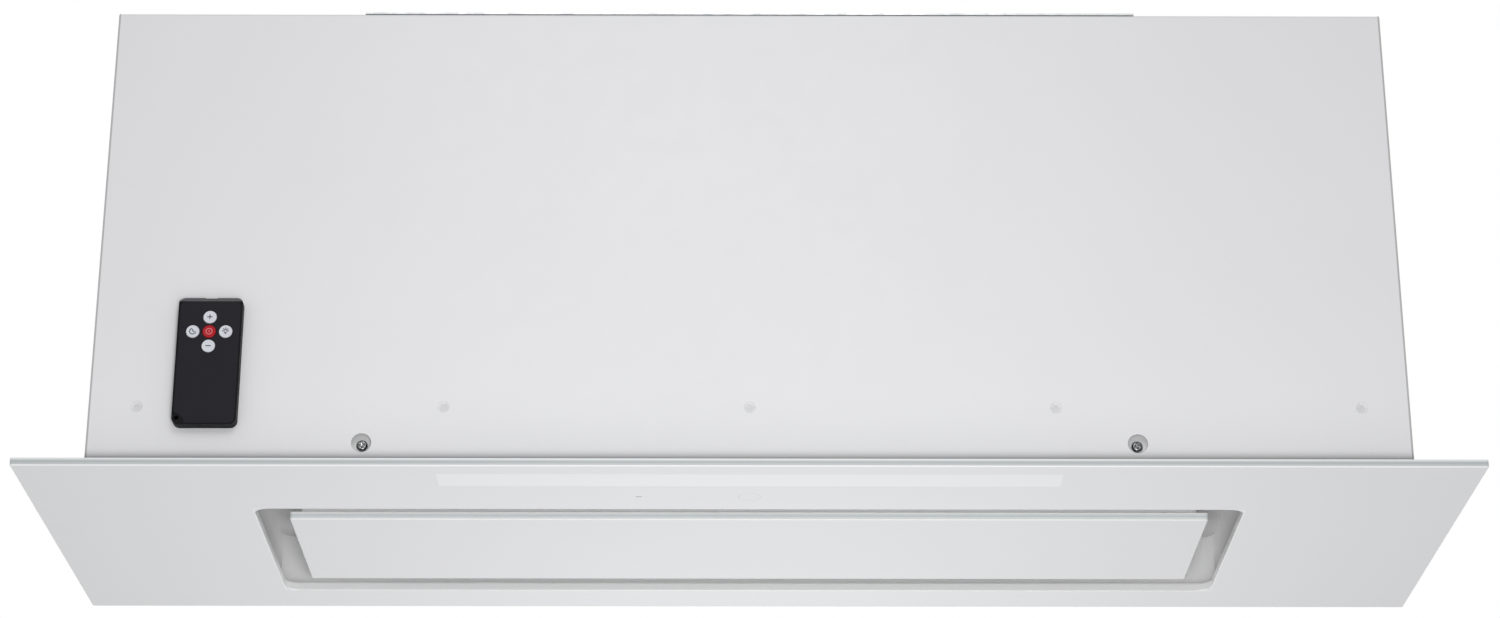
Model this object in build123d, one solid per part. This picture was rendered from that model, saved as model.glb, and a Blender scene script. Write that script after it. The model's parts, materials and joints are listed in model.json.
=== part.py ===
from build123d import *
import os
from math import cos, radians, sin

# Ceiling range hood with a perimeter-suction glass panel, built up from its separate pieces.
# Lengths are in millimetres. The origin is the centre of the fascia glass's room-side face:
# +X runs to the right, +Y to the rear, +Z up into the ceiling.

# ---- Fascia glass and its opening --------------------------------------------------------
GLASS_WIDTH = 900.0
GLASS_DEPTH = 288.0
GLASS_THICK = 5.0
GLASS_ARRIS = 0.6  # ground edge of the glass
GLASS_CORNER = 1.5
SIDE_BAND = 137.5  # glass at each end of the opening
FRONT_BAND = 81.5  # glass in front of the opening, over the light strip and the touch ring
REAR_BAND = 36.5
OPENING_CORNER = 10.0

# ---- Casing of folded sheet --------------------------------------------------------------
LAP_X = 40.0  # the glass stands out this far beyond the casing at each end
LAP_Y = 26.0  # and this far in front and behind
BODY_HEIGHT = 311.5
FOOT_RISE = 4.5  # the casing's lower edge stands this far above the glass
SHEET = 1.0
BEND_RADIUS = 1.5  # middle line of a fold
TOP_FLANGE = 13.0
FOOT_FLANGE = 4.0
CORNER_FLANGE = 12.0
CORNER_PLAY = 1.0  # between the recess ceiling's side flanges and the long panels' returns
SHEET_PLAY = 0.3  # where a sheet drops in between two others

# ---- Body rivets and access holes --------------------------------------------------------
RIVET_FROM_END = 30.0  # outermost rivet from the casing's end
RIVETS_PER_ROW = 5
RIVET_DISH_RADIUS = 3.6
RIVET_SHANK_RADIUS = 2.0
RIVET_DISH = 0.6
RIVET_DISH_EDGE = 0.2  # flat rim round the dish
FASTENER_SIDES = 6  # small shanks and dishes are drawn with this many flats
OVERCUT = 1.0  # a cutting solid reaches this far past what it cuts
ROUND_SIDES = 16  # other small rounds that nothing turns in
TURNED_SIDES = 24  # larger turned pieces
ACCESS_RADIUS = 6.25
FRONT_SCREW_FROM_END = 170.0  # fascia screws from the casing's ends
REAR_SCREW_FROM_END = 50.0
SCREW_RISE = 19.3  # fascia screw's axis above the glass
SCREW_SETBACK = 4.0  # the head's face lies this far behind the casing's skin
SCREW_HEAD_RADIUS = 3.6
SCREW_HEAD = 2.2
SCREW_SHANK_RADIUS = 2.0
SCREW_LENGTH = 8.0
CROSS_REACH = 4.2
CROSS_WIDTH = 0.9
CROSS_DEPTH = 1.2

# ---- Recess: ceiling, liner and fascia frame ---------------------------------------------
RECESS_MARGIN = 5.0  # the liner's inner face stands this far outside the glass opening
RECESS_HEIGHT = 40.0  # the recess ceiling above the room-side face
LINER_CORNER = 9.0
LINER_FLANGE = 3.0
PLENUM_FLANGE = 15.0
TAB_WIDTH = 30.0
TAB_RISE = 31.0
TAB_CLEARANCE = 2.0  # lower end of the recess ceiling's tabs above the casing's foot
FRAME_INSET = 10.0  # the frame's outer edge inside the glass's
FRAME_CORNER = 4.0
FRAME_SETBACK = 1.0  # the frame's opening stands this far outside the glass's
FRAME_SHEET = 1.2

# ---- Light strip, touch sensor and receiver ----------------------------------------------
LIGHT_WIDTH = 384.0
LIGHT_DEPTH = 22.0
LIGHT_FROM_EDGE = 26.0  # the strip's middle from the glass's front edge
DIFFUSER_THICK = 2.2
LED_BOARD_THICK = 0.8
PROFILE_WALL = 1.0
PROFILE_LIP = 2.0
LED_PITCH = 26.0
LED_WIDTH = 5.0
LED_DEPTH = 3.0
LED_BOARD_INSET = 4.0
SENSOR_FROM_EDGE = 57.0
SENSOR_BOARD_WIDTH = 40.0
SENSOR_BOARD_DEPTH = 18.0
SENSOR_PAD_RADIUS = 6.9
SENSOR_PAD_HEIGHT = 4.0
SENSOR_PLAY = 0.5
SENSOR_FOOT = 4.0
SENSOR_FOOT_INSET = 1.0
RECEIVER_OFFSET = -69.0
RECEIVER_WIDTH = 8.0
RECEIVER_HEIGHT = 7.0
LENS_HEIGHT = 1.5
LENS_INSET = 1.0
BOARD_THICK = 1.6

# ---- Suction panel -----------------------------------------------------------------------
SUCTION_GAP_X = 20.0  # between the panel's ends and the opening
SUCTION_GAP_Y = 23.0  # between its long edges and the opening
PANEL_RECESS = 1.0
PANEL_CORNER = 2.0
TRAY_INSET = 6.0
TRAY_HEIGHT = 10.0
HINGE_FROM_END = 30.5  # hinges and catches from the panel's ends
HINGE_FROM_EDGE = -3.5  # the pivot stands behind the panel's rear edge
HINGE_RISE = 16.0  # the pivot above the room-side face
HINGE_PIN_RADIUS = 2.0
HINGE_HEAD_RADIUS = 3.4
HINGE_EYE_RADIUS = 5.0
EAR_THICK = 2.0
EAR_ROOT = 12.0
CHEEK_THICK = 1.5
CHEEK_GAP = 0.3
SHAFT_FIT = 0.05  # radial clearance of anything that turns on a pin
HINGE_BASE_LENGTH = 22.0
CATCH_FROM_EDGE = 14.5
MAGNET_WIDTH = 12.0
MAGNET_DEPTH = 10.0
MAGNET_HEIGHT = 6.0
MAGNET_GAP = 0.3
MAGNET_INSET_X = 0.5  # the magnet's ends inside its bracket
MAGNET_INSET_Y = 0.75
STRIKE_MARGIN = 2.0  # the strikes and brackets stand out this far round the magnets
CATCH_FOLD = 1.0

# ---- Grease filter -----------------------------------------------------------------------
FILTER_INSET_X = 63.5  # the filter's ends inside the glass opening
FILTER_INSET_Y = 3.0
FILTER_HEIGHT = 9.0
FILTER_DROP = 1.0  # the frame hangs this far below the recess ceiling
FILTER_RIM = 14.0
FILTER_WALL = 1.2
FILTER_GAP = 1.0
FILTER_CORNER = 2.0
MESH_PLAY = 0.2
MESH_INSET = 2.0
PLEAT_PITCH = 8.0
PLEAT_DEPTH = 4.0
PLEAT_SHEET = 0.6
TONGUE_FROM_END = 69.0  # the fixed tongues from the filter's ends
TONGUE_WIDTH = 24.0
TONGUE_REACH = 5.0
LATCH_WIDTH = 24.0
LATCH_THICK = 1.5
LATCH_REACH = 4.5
LATCH_TRAVEL = 5.0
LATCH_LENGTH = 17.0
LATCH_KNOB = 5.0
LATCH_KNOB_DROP = 3.0
LATCH_KNOB_INSET = 2.0  # the knob's ends inside the tongue's
LATCH_KNOB_SETBACK = 1.5
LATCH_KNOB_ROUND = 1.0
LATCH_LEAD_IN = 0.8
LATCH_GUIDE = 1.0
LATCH_GUIDE_PLAY = 0.1
LATCH_NOTCH_PLAY = 4.0
LATCH_PLAY = 0.3

# ---- Blower ------------------------------------------------------------------------------
FAN_BACK_SHIFT = -14.0  # fan axis from the casing's centre, to the rear
FAN_FOOT_RISE = 94.0  # the wheel's lowest point above the room-side face
FAN_FROM_CASING = 40.0  # half the casing's depth less the wheel's radius
FAN_HALF_WIDTH = 65.0
FAN_RING_DEPTH = 12.0
FAN_RING = 2.0
FAN_BLADES = 32
BLADE_THICK = 1.0
BLADE_SWEEP = 40.0  # degrees between a blade's chord and the radial direction
BLADE_BOW = 2.0  # depth of a blade's curve
HUB_RADIUS = 12.0
HUB_FLARE = 28.8  # reach of the hub's web along the centre disc
HUB_LENGTH = 24.0
DISC_THICK = 1.6
DISC_REACH = 0.3  # past the inner edges of the end rings, up to the blades
SCROLL_GAP = 8.0  # between the wheel and the cut-off
SCROLL_STEP = 12.0  # growth of the scroll's radius every quarter turn
SCROLL_WALL = 1.0
SCROLL_HALF_WIDTH = 74.0
TONGUE_RADIUS = 10.0
TONGUE_AHEAD = 20.0  # the outlet's inner wall from the fan axis, to the rear
OUTLET_STRAIGHT = 4.0  # the scroll's mouth above the round of its cut-off
OUTLET_FOLDS = 16  # flats round the duct piece between scroll and spigot
OUTLET_CORNER = 6.0
OUTLET_PLUG = 8.0  # the duct piece reaches this far into the scroll's mouth
INLET_SETBACK = 6.0  # the bell mouth's throat inside the wheel's end ring
INLET_LIP = 8.0
INLET_FLANGE = 8.0
INLET_WALL = 1.2
HANGER_WIDTH = 26.0
EAR_FROM_FRONT = 20.0  # the hanging ears inside the scroll's front and rear
EAR_FROM_REAR = 10.0
MOTOR_RADIUS = 44.0
MOTOR_LENGTH = 96.0
MOTOR_SETBACK = 26.0  # motor's inner face from the wheel's centre disc
BEARING_RADIUS = 11.0
SHAFT_RADIUS = 4.0
SHAFT_NOSE = 4.0  # the shaft past the hub
SHAFT_TAIL = 6.0  # the shaft past the motor
BEARING_LENGTH = 5.0
BELL_RADIUS = 31.7
BELL_DEPTH = 16.0
COOLING_SLOTS = 6
SLOT_WIDTH = 5.0
SLOT_DEPTH = 10.0
SLOT_MARGIN = 3.0
BRACKET_BAND = 12.0
BRACKET_WALL = 3.0
BRACKET_SHEET = 2.0
BRACKET_ANGLES = (30, 150, 270)
BRACKET_FOOT = 14.0
BRACKET_ARM = 12.0
BRACKET_LEG = 6.0
BRACKET_GAP = 2.0  # between the bell mouth's flange and the bracket's feet
BRACKET_REACH = 18.0  # the clamp band's near edge from the scroll's side

# ---- Top plate, duct spigot and flaps ----------------------------------------------------
PLATE_WIDTH = 500.0
PLATE_THICK = 1.2
TOP_CUT_WIDTH = 320.0
PLATE_SCREW_INSET = 15.0
DUCT_MARGIN = 2.0  # from the spigot's flange to the motor plate's rear edge
DUCT_SIDES = 48  # flats of the spigot's bore, of its flange and of the flaps
DUCT_RADIUS = 74.5
DUCT_WALL = 1.8
DUCT_LENGTH = 35.0
DUCT_FLANGE_RADIUS = 86.0
DUCT_FLANGE = 2.0
FLAP_RISE = 7.8  # flap axis above the motor plate
FLAP_THICK = 1.2
FLAP_GAP = 0.8
FLAP_PIN_RADIUS = 1.5
FLAP_PIN_INSET = 0.8  # the pin's ends stay this far inside the spigot's outside
FLAP_KNUCKLE_RADIUS = 2.6
FLAP_KNUCKLES = 4
FLAP_ROOT = 0.5  # gap between a flap's straight edge and the other's knuckles
FLAP_INSET = 2.0  # the outermost knuckles inside the ledge
LEDGE_WIDTH = 3.2
LEDGE_THICK = 1.5
LEDGE_ROOT = 0.5
COVER_SCREW_RADIUS = 1.9
COVER_SCREW_HEAD_RADIUS = 3.4
COVER_SCREW_HEAD = 1.8
COVER_SCREW_TAIL = 2.0  # the shank past the last sheet
KNUCKLE_ROOT = 1.0  # a flap's knuckles reach this far into the flap

# ---- Hanging points and electrics --------------------------------------------------------
ROD_FROM_END = 40.0
ROD_FROM_FRONT = 33.0
ROD_HOLE_RADIUS = 4.25
HANGER_PLATE = 50.0
HANGER_PLATE_THICK = 3.0
BOX_FROM_HANGER = 5.0  # between the control box and a hanger plate
BOX_WIDTH = 160.0
BOX_FROM_FRONT = 28.0
BOX_DEPTH = 90.0
BOX_PLAY = 0.2
BOX_RIM = 6.0
BOARD_MARGIN_X = 12.0
BOARD_MARGIN_Y = 10.0
BOX_HEIGHT = 56.0
BOX_STANDOFF = 8.0
PILLAR_RADIUS = 2.5
# width, depth, height and place (from the board's middle) of what stands on it
TRANSFORMER = (28.0, 26.0, 22.0, -48.0, -12.0)
LIGHT_DRIVER = (60.0, 18.0, 16.0, -30.0, 20.0)
RELAY = (15.0, 11.0, 12.0, -18.0, -14.0)
RELAYS = 3
RELAY_PITCH = 19.0
TERMINALS = (34.0, 14.0, 11.0, 36.0, 22.0)
TERMINAL_PITCH = 11.0
TERMINAL_HOLE_RADIUS = 2.6
GLAND_FROM_BOX_END = 40.0
GLAND_RADIUS = 6.0
GLAND_BORE_RADIUS = 4.2
GLAND_NUT = 19.0
GLAND_DOME = 7.0
GLAND_COLLAR = 5.0
GLAND_THREAD = 5.0  # below the control box's sheet
GLAND_LOCKNUT = 4.0
GLAND_STEP = 1.5
CAPACITOR_RADIUS = 16.0
CAPACITOR_LENGTH = 60.0
CAPACITOR_STUD = 4.0
CAPACITOR_NUT = 7.0
CAPACITOR_SPACER = 3.0
CAPACITOR_STUD_LENGTH = 10.0
CAPACITOR_NUT_HEIGHT = 5.0
CAPACITOR_FROM_ROD = 70.0

# ---- Remote control ----------------------------------------------------------------------
REMOTE_WIDTH = 40.0
REMOTE_LENGTH = 85.0
REMOTE_THICK = 7.0
REMOTE_FROM_END = 73.0  # the remote's middle from the casing's left end
REMOTE_RISE = 33.7  # lower end above the room-side face
REMOTE_CORNER = 4.5
REMOTE_BEVEL = 3.0  # height of the sloped upper end
REMOTE_BEVEL_DEPTH = 2.0
REMOTE_SHELL = 1.2
REMOTE_FACE = 1.2
REMOTE_RIM = 0.9  # the case shows round the face plate
REMOTE_FACE_CORNER = 3.6
REMOTE_FACE_PLAY = 0.15
WINDOW_WIDTH = 7.4  # the infrared diode's notch in the upper end
WINDOW_DEPTH = 1.0
LANYARD_RADIUS = 7.8  # the face plate leaves this much of the lower left corner free
LANYARD_STEP = 0.4
LANYARD_HOLE_X = 3.0
LANYARD_HOLE_Z = 4.4
LANYARD_HOLE_RADIUS = 1.5
BUTTON_RADIUS = 4.15
BUTTON_PITCH_X = 10.25
BUTTON_PITCH_Z = 9.65
BUTTON_FROM_TOP = 23.4  # centre of the button cross below the upper end
BUTTON_GAP = 0.3
BUTTON_RIM = 0.65
BUTTON_RIM_THICK = 0.8
BUTTON_EDGE = 0.4
BUTTON_PROUD = 0.6
BUTTON_TRAVEL = 0.6
DOME_RADIUS = 1.5  # rubber dome under a button
DOME_HEIGHT = 0.7
WELL_DEPTH = 1.0  # below the buttons' lowest place
WELL_MARGIN = 1.5
CELL_RADIUS = 10.0
CELL_THICK = 2.5
CELL_PLAY = 0.15
CELL_FLOOR = 0.5
CELL_FROM_END = 1.2
DRAWER_WIDTH = 24.0
DRAWER_LENGTH = 26.0
DRAWER_PLAY = 0.2
DRAWER_SLOT = 10.0  # finger grip in the drawer's lower end
DRAWER_SLOT_DEPTH = 1.0
DRAWER_SLOT_HEIGHT = 1.0
REMOTE_MAGNET_RADIUS = 6.0
REMOTE_MAGNET_THICK = 1.0
REMOTE_MAGNET_GAP = 3.0

# ---- Sizes, levels and edges that follow from those above --------------------------------
opening_width = GLASS_WIDTH - 2 * SIDE_BAND
opening_depth = GLASS_DEPTH - FRONT_BAND - REAR_BAND
opening_shift = (FRONT_BAND - REAR_BAND) / 2  # the opening's centre behind the glass's
body_width = GLASS_WIDTH - 2 * LAP_X
body_depth = GLASS_DEPTH - 2 * LAP_Y
frame_width = GLASS_WIDTH - 2 * FRAME_INSET
frame_depth = GLASS_DEPTH - 2 * FRAME_INSET
panel_width = opening_width - 2 * SUCTION_GAP_X
panel_depth = opening_depth - 2 * SUCTION_GAP_Y
filter_width = opening_width - 2 * FILTER_INSET_X
filter_depth = opening_depth - 2 * FILTER_INSET_Y
tongue_span = filter_width - 2 * TONGUE_FROM_END
hinge_span = panel_width - 2 * HINGE_FROM_END
rivet_pitch = (body_width - 2 * RIVET_FROM_END) / (RIVETS_PER_ROW - 1)
front_screw_span = body_width - 2 * FRONT_SCREW_FROM_END
rear_screw_span = body_width - 2 * REAR_SCREW_FROM_END
rod_span_x = body_width - 2 * ROD_FROM_END
rod_span_y = body_depth - 2 * ROD_FROM_FRONT
half_body_x = body_width / 2
half_body_y = body_depth / 2
inner_x = half_body_x - SHEET
inner_y = half_body_y - SHEET

glass_top = GLASS_THICK
foot_z = glass_top + FOOT_RISE
body_top = foot_z + BODY_HEIGHT
lid_z = body_top - SHEET  # upper face of the top panel
under_lid = lid_z - SHEET
plenum_top = RECESS_HEIGHT + SHEET
rivet_z = plenum_top + PLENUM_FLANGE / 2 - SHEET / 2
screw_z = glass_top + SCREW_RISE
tab_y = half_body_y - SCREW_SETBACK - SCREW_HEAD  # outer face of the fascia frame's tabs
frame_top = glass_top + FRAME_SHEET
recess_x = opening_width / 2 + RECESS_MARGIN
recess_y0 = opening_shift - opening_depth / 2 - RECESS_MARGIN
recess_y1 = opening_shift + opening_depth / 2 + RECESS_MARGIN
light_y = -GLASS_DEPTH / 2 + LIGHT_FROM_EDGE
sensor_y = -GLASS_DEPTH / 2 + SENSOR_FROM_EDGE

panel_y0 = opening_shift - panel_depth / 2
panel_y1 = opening_shift + panel_depth / 2
panel_top = PANEL_RECESS + GLASS_THICK
hinge_y = panel_y1 - HINGE_FROM_EDGE
hinge_x = hinge_span / 2
catch_y = panel_y0 + CATCH_FROM_EDGE
tray_top = panel_top + TRAY_HEIGHT
filter_z0 = RECESS_HEIGHT - FILTER_DROP
filter_z1 = filter_z0 + FILTER_HEIGHT
filter_y0 = opening_shift - filter_depth / 2
filter_y1 = opening_shift + filter_depth / 2

fan_radius = half_body_y - FAN_FROM_CASING
fan_z = FAN_FOOT_RISE + fan_radius
fan_y = FAN_BACK_SHIFT
scroll_radius = fan_radius + SCROLL_GAP + SCROLL_STEP / 2
crown = fan_z - SCROLL_STEP / 2 + scroll_radius  # inside of the scroll's roof
outlet_rise = crown + TONGUE_RADIUS + OUTLET_STRAIGHT
outlet_y0 = fan_y + TONGUE_AHEAD
outlet_y1 = fan_y + SCROLL_STEP / 2 + scroll_radius + 2 * SCROLL_STEP
inlet_radius = fan_radius - FAN_RING_DEPTH - INLET_SETBACK
inlet_seat = inlet_radius + INLET_LIP
inlet_rim = inlet_seat + INLET_FLANGE
plate_top = body_top + PLATE_THICK
flap_z = plate_top + FLAP_RISE
duct_bore = DUCT_RADIUS - DUCT_WALL
duct_y = half_body_y - DUCT_FLANGE_RADIUS - DUCT_MARGIN

box_left = rod_span_x / 2 - HANGER_PLATE / 2 - BOX_FROM_HANGER - BOX_WIDTH
box_front = -half_body_y + BOX_FROM_FRONT
box_foot = under_lid - BOX_HEIGHT
box_x = box_left + BOX_WIDTH / 2
box_y = box_front + BOX_DEPTH / 2
capacitor_x = CAPACITOR_FROM_ROD - rod_span_x / 2
remote_x = REMOTE_FROM_END - half_body_x
remote_back = -half_body_y
remote_front = remote_back - REMOTE_THICK
remote_top = REMOTE_RISE + REMOTE_LENGTH
button_z = remote_top - BUTTON_FROM_TOP


# ---- Shared shapes -----------------------------------------------------------------------
def block(x0, x1, y0, y1, z0, z1):
    """Rectangular solid between two opposite corners."""
    return Pos((x0 + x1) / 2, (y0 + y1) / 2, (z0 + z1) / 2) * Box(x1 - x0, y1 - y0, z1 - z0)


def slab(width, depth, z0, z1, y=0.0, corner=0.0, x=0.0):
    """Level plate centred on (x, y), with rounded corners where asked."""
    outline = RectangleRounded(width, depth, corner) if corner else Rectangle(width, depth)
    return extrude(Pos(x, y, z0) * outline, z1 - z0)


def flat_sided(rings):
    """Solid whose flat sides join one ring of points to the next, closed at both ends."""
    faces = [Face(Wire.make_polygon(rings[0])), Face(Wire.make_polygon(rings[-1]))]
    for low, high in zip(rings, rings[1:]):
        for i in range(len(low)):
            k = (i + 1) % len(low)
            faces.append(Face(Wire.make_polygon([low[i], low[k], high[k], high[i]])))
    return Solid(Shell(faces))


def turned(profile, sides=TURNED_SIDES):
    """Solid turned about Z with flats, through (radius, height) points from below upwards."""
    turn = [radians(360 * i / sides) for i in range(sides)]
    return flat_sided([[(r * cos(a), r * sin(a), z) for a in turn] for r, z in profile])


def along_x(x, y, z, way=1):
    """Place that lays a solid's Z axis along +X (way 1) or -X (way -1)."""
    return Pos(x, y, z) * Rot(0, 90 * way, 0)


def along_y(x, y, z, way=1):
    """Place that lays a solid's Z axis along +Y (way 1) or -Y (way -1)."""
    return Pos(x, y, z) * Rot(-90 * way, 0, 0)


def rod(radius, length):
    """Cylinder that starts on the XY plane and rises along +Z."""
    return extrude(Circle(radius), length)


def ring(outer, inner, length, sides=TURNED_SIDES):
    """Flat-sided tube that starts on the XY plane and rises along +Z."""
    return extrude(RegularPolygon(outer, sides) - RegularPolygon(inner, sides), length)


def folded(points, thick, length, plane=Plane.YZ, radius=BEND_RADIUS):
    """Sheet folded along a middle line, drawn out both ways along the plane's normal."""
    return extrude(plane * trace(FilletPolyline(*points, radius=radius), thick), length / 2, both=True)


def flatted(radius, length, foot_radius=0.0, sides=FASTENER_SIDES):
    """Shank or head with a few flats in place of a round, rising along +Z."""
    foot = RegularPolygon(foot_radius or radius, sides)
    return loft([foot, Pos(0, 0, length) * RegularPolygon(radius, sides)], ruled=True)


def rivet_row():
    """X places of the rivets in a front or rear row."""
    middle = (RIVETS_PER_ROW - 1) / 2
    return [(i - middle) * rivet_pitch for i in range(RIVETS_PER_ROW)]


def rivet_places():
    """Every rivet's seat: the rivet's axis points into the casing."""
    front = [along_y(x, -half_body_y, rivet_z) for x in rivet_row()]
    rear = [along_y(x, half_body_y, rivet_z, -1) for x in rivet_row()]
    return {"front": front, "rear": rear}


def screw_places():
    """Fascia screws: each axis points into the casing from the skin, front pair first."""
    front = [along_y(x * front_screw_span / 2, -half_body_y, screw_z) for x in (-1, 1)]
    rear = [along_y(x * rear_screw_span / 2, half_body_y, screw_z, -1) for x in (-1, 1)]
    return {"front": front, "rear": rear}


def rivet_body():
    """Countersunk head and shank of a rivet that joins two sheets, before its dish is pressed."""
    return flatted(RIVET_SHANK_RADIUS, SHEET, RIVET_DISH_RADIUS) + flatted(RIVET_SHANK_RADIUS, 2 * SHEET)


# ---- Casing ------------------------------------------------------------------------------
def long_panel(side, name):
    """Front or rear panel: flanged at top and foot, with a return down each end."""
    skin_y = side * (half_body_y - SHEET / 2)
    middle_top = body_top - SHEET / 2
    middle_foot = foot_z + SHEET / 2
    path = [
        (side * (half_body_y - TOP_FLANGE), middle_top),
        (skin_y, middle_top),
        (skin_y, middle_foot),
        (side * (half_body_y - FOOT_FLANGE), middle_foot),
    ]
    panel = folded(path, SHEET, 2 * inner_x)
    for end in (-1, 1):
        x_pair = sorted((end * inner_x, end * (inner_x - SHEET)))
        y_pair = sorted((side * inner_y, side * (half_body_y - CORNER_FLANGE)))
        panel += block(*x_pair, *y_pair, foot_z + 2 * BEND_RADIUS, lid_z - 2 * BEND_RADIUS)
    for place in rivet_places()[name]:
        panel -= place * rivet_body()
    for place in screw_places()[name]:
        panel -= place * flatted(ACCESS_RADIUS, SHEET, sides=TURNED_SIDES)
    for x, y in plate_screw_places():
        if y * side > 0:
            panel -= Pos(x, y, lid_z) * flatted(COVER_SCREW_RADIUS, SHEET)
    return panel


def side_panel(side):
    """Side panel: its skin covers the long panels' ends, its top flange turns inwards."""
    skin_x = side * (half_body_x - SHEET / 2)
    middle_top = body_top - SHEET / 2
    path = [(side * (half_body_x - TOP_FLANGE), middle_top), (skin_x, middle_top), (skin_x, foot_z)]
    skin = folded(path, SHEET, 2 * half_body_y, Plane.XZ)
    for end in (-1, 1):
        y_pair = sorted((end * half_body_y, end * (half_body_y - TOP_FLANGE - SHEET)))
        x_pair = sorted((side * inner_x, side * (half_body_x - TOP_FLANGE - SHEET)))
        skin -= block(*x_pair, *y_pair, lid_z - SHEET, body_top + SHEET)
    for x, y in lid_screw_places():
        if x * side > 0:
            skin -= Pos(x, y, lid_z) * flatted(COVER_SCREW_RADIUS, SHEET)
    return skin


def hanger_places():
    """Centres of the four holes for ceiling rods."""
    return [(x * rod_span_x / 2, y * rod_span_y / 2) for x in (-1, 1) for y in (-1, 1)]


def plate_screw_places():
    """Screws through the motor plate, the long panels' flanges and the top panel."""
    rows = (half_body_y - TOP_FLANGE / 2 - SHEET / 2, -half_body_y + TOP_FLANGE / 2 + SHEET / 2)
    outer = PLATE_WIDTH / 2 - PLATE_SCREW_INSET
    columns = (-outer, -outer / 3, outer / 3, outer)
    return [(x, y) for x in columns for y in rows]


def lid_screw_places():
    """Screws through the side panels' flanges and the top panel."""
    x = half_body_x - TOP_FLANGE / 2 - SHEET / 2
    return [(side * x, y) for side in (-1, 1) for y in (-rod_span_y / 3, rod_span_y / 3)]


def gland_place():
    """Centre of the cable gland, over the control box."""
    return box_left + BOX_WIDTH - GLAND_FROM_BOX_END, box_y


def top_panel():
    """Lid under the top flanges, cut out for the blower, with rod, gland and stud holes."""
    bend = BEND_RADIUS - SHEET / 2
    lid = slab(2 * (inner_x - SHEET - SHEET_PLAY), 2 * (inner_y - bend - SHEET_PLAY), under_lid, lid_z)
    deep = 2 * (half_body_y - TOP_FLANGE)
    lid -= slab(TOP_CUT_WIDTH, deep, under_lid - OVERCUT, lid_z + OVERCUT)
    for x, y in hanger_places():
        lid -= Pos(x, y, under_lid) * rod(ROD_HOLE_RADIUS, SHEET)
    for x, y in plate_screw_places() + lid_screw_places():
        lid -= Pos(x, y, under_lid) * flatted(COVER_SCREW_RADIUS, SHEET)
    x, y = gland_place()
    lid -= Pos(x, y, under_lid) * flatted(GLAND_RADIUS, SHEET, sides=ROUND_SIDES)
    lid -= Pos(capacitor_x, 0, under_lid) * flatted(CAPACITOR_STUD, SHEET)
    return lid


def hanger_plates():
    """Four doubling plates that carry the hood on its ceiling rods."""
    plates = []
    for x, y in hanger_places():
        outline = Rectangle(HANGER_PLATE, HANGER_PLATE) - RegularPolygon(ROD_HOLE_RADIUS, ROUND_SIDES)
        plates.append(extrude(Pos(x, y, under_lid - HANGER_PLATE_THICK) * outline, HANGER_PLATE_THICK))
    return plates


def motor_plate():
    """Plate that carries the blower and the duct spigot."""
    plate = slab(PLATE_WIDTH, body_depth, body_top, plate_top)
    plate -= Pos(0, duct_y, body_top) * flatted(duct_bore, PLATE_THICK, sides=DUCT_SIDES)
    for x, y in plate_screw_places() + hanger_screw_places():
        plate -= Pos(x, y, body_top) * flatted(COVER_SCREW_RADIUS, PLATE_THICK)
    for x, y in spigot_screw_places():
        plate -= Pos(x, y, body_top) * flatted(COVER_SCREW_RADIUS, PLATE_THICK)
    return plate


# ---- Recess and fascia -------------------------------------------------------------------
def plenum_floor():
    """Ceiling of the recess, with the filter's aperture, riveted flanges and screw tabs."""
    floor = slab(2 * (inner_x - SHEET - SHEET_PLAY), 2 * inner_y, RECESS_HEIGHT, plenum_top)
    flat_y = half_body_y - CORNER_FLANGE - CORNER_PLAY
    floor += slab(2 * inner_x, 2 * flat_y, RECESS_HEIGHT, plenum_top)
    top = plenum_top + PLENUM_FLANGE
    half_x = inner_x - SHEET - SHEET_PLAY
    for side in (-1, 1):
        y_pair = sorted((side * inner_y, side * (inner_y - SHEET)))
        floor += block(-half_x, half_x, *y_pair, RECESS_HEIGHT, top)
        x_pair = sorted((side * inner_x, side * (inner_x - SHEET)))
        floor += block(*x_pair, -flat_y, flat_y, RECESS_HEIGHT, top)
    aperture_x = filter_width + 2 * FILTER_GAP
    aperture_y = filter_depth + 2 * FILTER_GAP
    floor -= slab(aperture_x, aperture_y, RECESS_HEIGHT - OVERCUT, plenum_top + OVERCUT, opening_shift)
    for name, span in (("front", front_screw_span), ("rear", rear_screw_span)):
        side = -1 if name == "front" else 1
        y_pair = sorted((side * (tab_y - FRAME_SHEET), side * (tab_y - FRAME_SHEET - SHEET)))
        for end in (-1, 1):
            x = end * span / 2
            low = foot_z + TAB_CLEARANCE
            floor += block(x - TAB_WIDTH / 2, x + TAB_WIDTH / 2, *y_pair, low, plenum_top)
        for place in screw_places()[name]:
            floor -= place * flatted(SCREW_SHANK_RADIUS, SCREW_SETBACK + SCREW_LENGTH)
    for places in rivet_places().values():
        for place in places:
            floor -= place * rivet_body()
    return floor


def recess_liner():
    """Four-walled collar between the glass opening and the recess ceiling."""
    def collar(reach, low, high, corner):
        width = 2 * (recess_x + reach)
        depth = recess_y1 - recess_y0 + 2 * reach
        return slab(width, depth, low, high, opening_shift, corner)

    liner = collar(SHEET, frame_top, RECESS_HEIGHT, LINER_CORNER + SHEET)
    liner += collar(SHEET + LINER_FLANGE, frame_top, frame_top + SHEET, LINER_CORNER + SHEET)
    return liner - collar(0, frame_top - OVERCUT, RECESS_HEIGHT + OVERCUT, LINER_CORNER)


def fascia_glass():
    """White glass with its rounded opening and ground edges."""
    glass = slab(GLASS_WIDTH, GLASS_DEPTH, 0, GLASS_THICK, corner=GLASS_CORNER)
    low, high = -OVERCUT, GLASS_THICK + OVERCUT
    glass -= slab(opening_width, opening_depth, low, high, opening_shift, OPENING_CORNER)
    return chamfer(glass.faces().sort_by(Axis.Z)[0].edges(), GLASS_ARRIS)


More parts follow.
